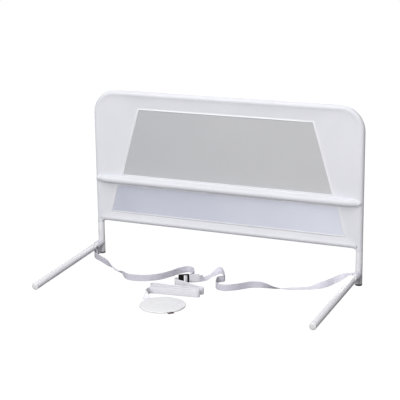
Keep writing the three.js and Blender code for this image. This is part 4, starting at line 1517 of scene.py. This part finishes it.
@dataclass
class Strap:
    """The webbing: the main strap between the arms and the tail that ends at the disc."""

    width: float = 25.0
    thickness: float = 1.6
    lift: float = 0.15
    step: float = 4.0
    hank_right: Point = (44.0, -318.0, 17.0)
    hank_left: Point = (-132.0, -326.0, 24.0)
    hank_end: float = -120.0
    layers: int = 3
    layer_steps: int = 30
    fold_steps: int = 12
    wave: float = 0.9

    def fine_route(self, route: Route) -> Route:
        """Passes a smooth curve through a route's points.

        Args:
            route: Place, twist and rise of each point.

        Returns:
            Points close together on that curve.
        """
        full = [(*point, 0.0, 0.0)[:4] for point in route]
        before = tuple(2 * a - b for a, b in zip(full[0], full[1]))
        beyond = tuple(2 * a - b for a, b in zip(full[-1], full[-2]))
        knots = [before, *full, beyond]
        fine: list[tuple[float, ...]] = []
        for k in range(1, len(knots) - 2):
            p = knots[k - 1:k + 3]
            t = [0.0]
            for a, b in zip(p, p[1:]):
                t.append(t[-1] + max(math.dist(a[:2], b[:2]), 1e-3) ** 0.5)
            count = max(1, round(math.dist(p[2][:2], p[1][:2]) / self.step))
            fine += [self.between(p, t, t[1] + (t[2] - t[1]) * i / count) for i in range(count)]
        return [*fine, full[-1]]

    @staticmethod
    def between(p: Route, t: Sequence[float], now: float) -> tuple[float, ...]:
        """Gives one point of a centripetal curve.

        Args:
            p: Four knots.
            t: Their parameters.
            now: The parameter asked for, between the middle two.

        Returns:
            The point.
        """
        def mix(a: Sequence[float], b: Sequence[float], ta: float, tb: float) -> tuple[float, ...]:
            """Mixes two points by their parameters."""
            share = (now - ta) / (tb - ta)
            return tuple(u + (v - u) * share for u, v in zip(a, b))
        low = [mix(p[i], p[i + 1], t[i], t[i + 1]) for i in range(3)]
        mid = [mix(low[i], low[i + 1], t[i], t[i + 2]) for i in range(2)]
        return mix(mid[0], mid[1], t[1], t[2])

    def stops(self, route: Route) -> list[Stop]:
        """Stands the strap on the floor along a route.

        Args:
            route: Points close together.

        Returns:
            The stops of the sweep.
        """
        made = []
        for i, (x, y, turn, rise) in enumerate(route):
            before, after = route[max(i - 1, 0)], route[min(i + 1, len(route) - 1)]
            forward = Vector((after[0] - before[0], after[1] - before[1], 0)).normalized()
            twist = math.radians(turn)
            up = UP * math.cos(twist) + UP.cross(forward) * math.sin(twist)
            half = abs(math.cos(twist)) * self.width + abs(math.sin(twist)) * self.thickness
            place = at(x, y, max(rise, 0.0) + half / 2 + self.lift)
            made.append(Stop(place, up.cross(forward).normalized(), up))
        return made

    def hank_side(self, layer: int, left: bool) -> Vector:
        """Gives the left or right end of one layer of the hank."""
        x, y, pitch = self.hank_left if left else self.hank_right
        return Vector((x, y - layer * pitch))

    def fold(self, start: Vector, end: Vector, turn: int) -> Route:
        """Gives a half-round fold between two places.

        Args:
            start: Where it begins.
            end: Where it ends.
            turn: One where it turns left and minus one where it turns right.

        Returns:
            The fold's points.
        """
        spoke = (start - end) / 2
        heading = math.degrees(math.atan2(spoke.y, spoke.x))
        points = arc(spoke.length, heading, heading + 180 * turn, self.fold_steps, tuple((start + end) / 2))
        return [(x, y, 0.0, 0.0) for x, y in points]

    def hank(self) -> Route:
        """Gives the route of the hank: runs that zigzag on edge, joined by half-round folds.

        Returns:
            The route's points.
        """
        made = [*self.fold(self.hank_side(-1, False), self.hank_side(0, False), -1)]
        for k in range(self.layers):
            rightward = k % 2 == 1
            last = k == self.layers - 1
            start, end = self.hank_side(k, rightward), self.hank_side(k, not rightward)
            if last:
                whole = self.hank_right[0] - self.hank_left[0]
                end = end.lerp(start, (self.hank_end - self.hank_left[0]) / whole)
            for i in range(1, self.layer_steps):
                share = i / self.layer_steps
                place = start.lerp(end, share)
                wave = self.wave * math.sin(2 * math.pi * share + k) * math.sin(math.pi * share)
                made.append((place.x, place.y + wave, 0.0, 0.0))
            if not last:
                made += self.fold(end, self.hank_side(k + 1, not rightward), -1 if rightward else 1)
        return [*made, (end.x, end.y, 0.0, 0.0)]

    def build(self, tail_pieces: Sequence[Piece]) -> None:
        """Args:
            tail_pieces: The disc and its tag, at the tail's far end.
        """
        main_route = self.fine_route(MAIN_ROUTE)
        tail_route = [*self.fine_route(LEAD_ROUTE)[:-1], *self.hank(), *self.fine_route(RUN_ROUTE)[1:]]
        self.cord("strap_main", main_route, FINISHES.webbing, ["main_strap"], far_end="object")
        self.cord("strap_tail", tail_route, FINISHES.tail_webbing,
                  ["tail_strap_lead", "tail_strap_hank", "tail_strap_run"],
                  far_end="fitting", with_pieces=list(tail_pieces))

    def cord(self, name: str, route: Route, look: Look, nodes: Sequence[str], **facts: object) -> None:
        """Args:
            name: The piece's name.
            route: Its route, in points close together.
            look: Its finish.
            nodes: CAD nodes that it replaces.
            facts: Not used.
        """
        stops = self.stops(route)
        piece = sweep(name, strap_section(self.thickness, self.width), stops)
        hand_over(piece, look, nodes, crease=60)


@dataclass
class Buckle:
    """Ladder-lock buckle and the webbing tab that holds it, both standing on edge."""

    x: float = -66.0
    y: float = -223.0
    heading: float = math.radians(36)
    length: float = 40.0
    height: float = 34.0
    thickness: float = 4.0
    bar: float = 4.0
    end_bar: float = 6.0
    slot: float = 5.0
    slot_height: float = 25.4
    lift: float = 0.3
    ply: float = 1.5
    gap: float = 0.3
    sleeve_start: float = 9.0
    sleeve_length: float = 29.0
    sleeve_height: float = 30.8

    def stand(self, piece: Piece) -> Piece:
        """Turns a piece built about the origin to the buckle's heading and puts it in place."""
        return put(piece, at(self.x, self.y, self.lift), (0, 0, self.heading))

    def frame(self) -> None:
        """Builds the moulded frame: plate, two slots, rounded bars and the slanted lower corner."""
        half, tall, deep = self.length / 2, self.height, self.thickness
        corners = [(-half, 10), (-half, tall), (half - 3, tall), (half - 0.9, tall - 0.9), (half, tall - 3),
                   (half, 3), (half - 0.9, 0.9), (half - 3, 0), (-3.7, 0)]
        piece = plate("buckle", [metres(x, -deep / 2, z) for x, z in corners], metres(0, deep, 0))
        low, high = (tall - self.slot_height) / 2, (tall + self.slot_height) / 2
        first = half - self.end_bar
        for right in (first, first - self.slot - self.bar):
            carve(piece, block("cutter_slot", (right - self.slot, -10, low), (right, 10, high)))
        bevel(piece, 0.7, 35, 3)
        hand_over(self.stand(piece), FINISHES.black, ["strap_buckle"])

    def ribbon(self, name: str, path: Sequence[Pair], low: float, width: float,
               closed: bool = False) -> Piece:
        """Stands a ply of webbing on edge along a path in plan.

        Args:
            name: The piece's name.
            path: Corners in the buckle's own plan, in millimetres.
            low: Height of its lower edge.
            width: How tall it stands.
            closed: True for a ring.

        Returns:
            The ply.
        """
        stops = []
        count = len(path)
        for i, (x, y) in enumerate(path):
            a = path[i - 1] if closed or i else path[0]
            b = path[(i + 1) % count] if closed or i < count - 1 else path[-1]
            forward = Vector((b[0] - a[0], b[1] - a[1], 0)).normalized()
            stops.append(Stop(metres(x, y, low + width / 2), Vector((forward.y, -forward.x, 0)), UP))
        return sweep(name, strap_section(self.ply, width), stops, closed)

    @staticmethod
    def ring(centre: float, half_x: float, half_y: float, corner: float) -> list[Pair]:
        """Gives a ring path with round corners about a place on the buckle's line.

        Args:
            centre: The place on the line.
            half_x: Half of its length.
            half_y: Half of its width.
            corner: Radius of its corners.

        Returns:
            The path's points.
        """
        path = []
        for k, (sx, sy) in enumerate(((1, 1), (-1, 1), (-1, -1), (1, -1))):
            middle = (centre + sx * (half_x - corner), sy * (half_y - corner))
            path += arc(corner, 90 * k, 90 * (k + 1), 5, middle)
        return path

    def tab(self) -> None:
        """Builds the tab: a loop on the middle bar, its lead behind the end bar, and the sleeve."""
        half, half_ply = self.length / 2, self.ply / 2
        middle = self.thickness / 2 + self.gap + half_ply
        bar_out = half - self.end_bar - self.slot + self.gap
        bar_in = bar_out - self.bar - 2 * self.gap
        low, width = (self.height - self.slot_height) / 2 + self.gap, self.slot_height - 2 * self.gap
        loop = self.ring((bar_in + bar_out) / 2, (bar_out - bar_in) / 2 + half_ply, middle, 1.4)
        bend, sleeve = half + self.gap + half_ply, 1.2 + half_ply
        lead = [(bar_out, middle), (bar_out + 4, middle), (bend - 1.2, middle), (bend - 0.3, middle - 0.4),
                (bend, middle - 1.3), (bend, -sleeve + 1.3), (bend + 0.3, -sleeve + 0.4),
                (bend + 1.2, -sleeve), (bend + 5, -sleeve), (half + self.gap + 10.5, -sleeve)]
        parts = [self.ribbon("strap_tab_piece", loop, low, width, True),
                 self.ribbon("lead", lead, low, width)]
        start = half + self.gap + self.sleeve_start
        end = start + self.sleeve_length
        for sign in (-1, 1):
            flat, proud = sign * sleeve, sign * (sleeve + 0.15)
            path = [(start, flat), (start + 8, proud), ((start + end) / 2, flat), (end - 8, proud),
                    (end, flat)]
            parts.append(self.ribbon("sleeve", path, 0.05, self.sleeve_height))
        for z in (1.0, 29.9):
            strip = block("edge", (start, 0.2 - sleeve, z - 0.9), (end, sleeve - 0.2, z + 0.9))
            bevel(strip, 0.3, 30)
            parts.append(strip)
        hand_over(self.stand(join(parts)), FINISHES.tail_webbing, ["strap_tab"])

    def build(self) -> None:
        """Builds the buckle and its tab."""
        self.frame()
        self.tab()


@dataclass
class Disc:
    """Anchor disc with its three low rings, and the cloth tag under its rim."""

    x: float = -28.0
    y: float = -477.0
    radius: float = 81.0
    height: float = 5.6
    crowning: float = 1.6
    rings: tuple[Pair, ...] = ((64.0, 0.35), (52.0, 0.6), (30.0, 0.45))
    ring_shape: tuple[Pair, ...] = (
        (2.4, 0), (1.4, 0.35), (0.6, 0.95), (-0.6, 0.95), (-1.4, 0.35), (-2.4, 0))
    notch: float = math.radians(152.5)
    notch_depth: float = 14.0
    tag_heading: float = math.radians(-44)
    tag_root: float = 64.0
    tag_length: float = 26.0
    tag_steps: int = 13
    tag_flat: int = 8
    tag_height: float = 0.75
    tag_lift: float = 0.15
    tag_section: tuple[Pair, ...] = (
        (-11.5, -0.45), (11.5, -0.45), (11.5, 0.0), (11.2, 0.45), (-11.2, 0.45), (-11.5, 0.0))

    def crown(self, r: float, sunk: float = 0.0) -> Pair:
        """Gives a place on the disc's top at a radius, or a little under it."""
        return r, self.height + self.crowning * (1 - (r / self.radius) ** 2) - sunk

    def disc(self) -> Piece:
        """Builds the disc: crowned plate, rolled rim, three rings, a sunk middle and a boss below.

        Returns:
            The disc.
        """
        r, h = self.radius, self.height
        profile = [(0.0, 2.0), (15.0, 2.0), (15.0, 3.2), (r - 2.4, 3.2), (r - 2.2, 0.0), (r - 0.9, 0.0),
                   (r - 0.2, 0.7), (r, 1.8), (r - 0.1, h - 1.6), (r - 0.7, h - 0.6), (r - 1.9, h - 0.05),
                   self.crown(r - 4.5)]
        for centre, rise in self.rings:
            profile += [self.crown(centre + offset, -rise * share) for offset, share in self.ring_shape]
        profile += [self.crown(18), self.crown(15.5, 0.1), self.crown(13, 0.5), self.crown(6, 0.6),
                    self.crown(0, 0.6)]
        piece = turned("disc", profile, 120)
        for heading, half in ((self.notch, 13.5), (self.tag_heading, 12.5)):
            low, high = (r - self.notch_depth, -half, -10), (r + self.notch_depth, half, 3.1)
            carve(piece, put(block("cutter_notch", low, high), Vector(), (0, 0, heading)))
        return hand_over(put(piece, at(self.x, self.y, 0.1)), FINISHES.plastic, ["anchor_disc"], crease=35)

    def tag(self) -> Piece:
        """Builds the bare cloth tag, lifted a little at its free end.

        Returns:
            The tag.
        """
        out = Vector((math.cos(self.tag_heading), math.sin(self.tag_heading), 0))
        stops = []
        for i in range(self.tag_steps + 1):
            reach = self.tag_root + self.tag_length * i / self.tag_steps
            free = max(0.0, (i - self.tag_flat) / (self.tag_steps - self.tag_flat))
            place = at(self.x, self.y, self.tag_height + self.tag_lift * free ** 2)
            stops.append(Stop(place + out * (reach * MM), UP.cross(out), UP))
        return hand_over(sweep("tag", self.tag_section, stops), FINISHES.tag, ["anchor_tag"])


# CAD parts that stay, stage, light and camera

def dress_cad() -> None:
    """Gives the CAD nodes that stay in view their finishes."""
    for name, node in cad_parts.items():
        look = None
        if "screw" in name:
            look = FINISHES.zinc
        elif "plug" in name:
            look = FINISHES.grey
        elif name in ("frame_tube", "mid_bar", "bottom_bar"):
            look = FINISHES.paint
        if look:
            for slot in node.material_slots:
                slot.material = look.material


@dataclass
class Studio:
    """Pale floor, plain soft lamps, and the camera at the photograph's angle."""

    camera_place: Point = (1.7706, -4.0562 + RAIL_SHIFT, 1.4190)
    azimuth: float = math.radians(24.756)
    elevation: float = math.radians(14.560)
    roll: float = math.radians(-0.691)
    lens: float = 109.27
    sensor: float = 36.0
    view_reach: float = 50.0
    world: float = 0.29
    floor_size: float = 16.0
    floor_glow: float = 1.3
    floor_share: float = 0.76
    floor_colour: Point = (0.24, 0.24, 0.25)

    def floor(self) -> None:
        """Lays the floor, white to the camera but for the object's shadow."""
        deselect()
        bpy.ops.mesh.primitive_plane_add(size=self.floor_size, location=(0, 0, 0))
        ground = bpy.context.object
        ground.name = "floor"
        material = bpy.data.materials.new("studio_floor")
        material.use_nodes = True
        nodes = material.node_tree.nodes
        nodes.remove(nodes["Principled BSDF"])
        tree = Tree(material.node_tree)
        matt = tree.add("ShaderNodeBsdfDiffuse", {"Color": (*self.floor_colour, 1)})
        glow = tree.add("ShaderNodeEmission", {"Color": WHITE, "Strength": self.floor_glow})
        path = tree.add("ShaderNodeLightPath").outputs
        seen = tree.calc("MAXIMUM", path["Is Camera Ray"], path["Is Transmission Ray"])
        share = tree.calc("MULTIPLY", seen, self.floor_share)
        mix = tree.add("ShaderNodeMixShader", {0: share, 1: matt.outputs[0], 2: glow.outputs[0]})
        tree.fill(nodes["Material Output"], {"Surface": mix.outputs[0]})
        dress(ground, material)

    def lamps(self) -> None:
        """Hangs the soft lamps and sets the even light of the room."""
        world = bpy.data.worlds.new("studio")
        bpy.context.scene.world = world
        world.use_nodes = True
        tree = Tree(world.node_tree)
        path = tree.add("ShaderNodeLightPath").outputs
        seen = tree.calc("MAXIMUM", path["Is Camera Ray"], path["Is Glossy Ray"])
        seen = tree.calc("MAXIMUM", seen, path["Is Transmission Ray"])
        tree.fill(world.node_tree.nodes["Background"],
                  {"Color": WHITE, "Strength": tree.spread(seen, 0.0, 1.0, self.world, 1.0)})
        self.lamp("lamp_over", (0.1, -1.3, 3.1), (0, 0, 0.2), 2.6, 59)
        self.lamp("lamp_front", (0.1, -4.3, 1.8), (0, 0, 0.3), 2.0, 107)
        self.lamp("lamp_back", (-0.6, 4.2, 1.7), (0, 0, 0.3), 2.4, 70)

    @staticmethod
    def lamp(name: str, place: Point, target: Point, size: float, power: float) -> None:
        """Hangs one square lamp.

        Args:
            name: The lamp's name.
            place: Where it hangs, in metres.
            target: What it points at.
            size: Its side in metres.
            power: Its power in watts.
        """
        light = bpy.data.lights.new(name, "AREA")
        light.size = size
        light.energy = power
        lamp = bpy.data.objects.new(name, light)
        bpy.context.collection.objects.link(lamp)
        lamp.location = place
        lamp.rotation_euler = (Vector(target) - Vector(place)).to_track_quat("-Z", "Y").to_euler()

    def camera(self) -> None:
        """Sets the camera at the photograph's place and angle."""
        az, el = self.azimuth, self.elevation
        forward = Vector((-math.sin(az) * math.cos(el), math.cos(az) * math.cos(el), -math.sin(el)))
        right = Vector((math.cos(az), math.sin(az), 0))
        up = right.cross(forward)
        across = right * math.cos(self.roll) + up * math.sin(self.roll)
        above = up * math.cos(self.roll) - right * math.sin(self.roll)
        data = bpy.data.cameras.new("camera")
        data.lens = self.lens
        data.sensor_width = self.sensor
        data.clip_end = self.view_reach
        camera = bpy.data.objects.new("camera", data)
        bpy.context.collection.objects.link(camera)
        turn = Matrix((across, above, -forward)).transposed().to_4x4()
        camera.matrix_world = Matrix.Translation(Vector(self.camera_place)) @ turn
        bpy.context.scene.camera = camera

    def build(self) -> None:
        """Builds the stage, the light and the camera."""
        self.camera()
        self.floor()
        self.lamps()
        bpy.context.scene.view_settings.view_transform = "Standard"


def main() -> None:
    """Builds the rail in order: studio, strap and its fittings, cover, posts and arms."""
    logging.basicConfig(level=logging.INFO, format="%(message)s")
    Studio().build()
    disc = Disc()
    Strap().build([disc.disc(), disc.tag()])
    Buckle().build()
    Cover().build()
    for hand in Hand:
        Post(hand).build()
        Arm(hand).build()
    dress_cad()
    deselect()
    LOG.info("the rail is complete")


if __name__ == "__main__":
    main()
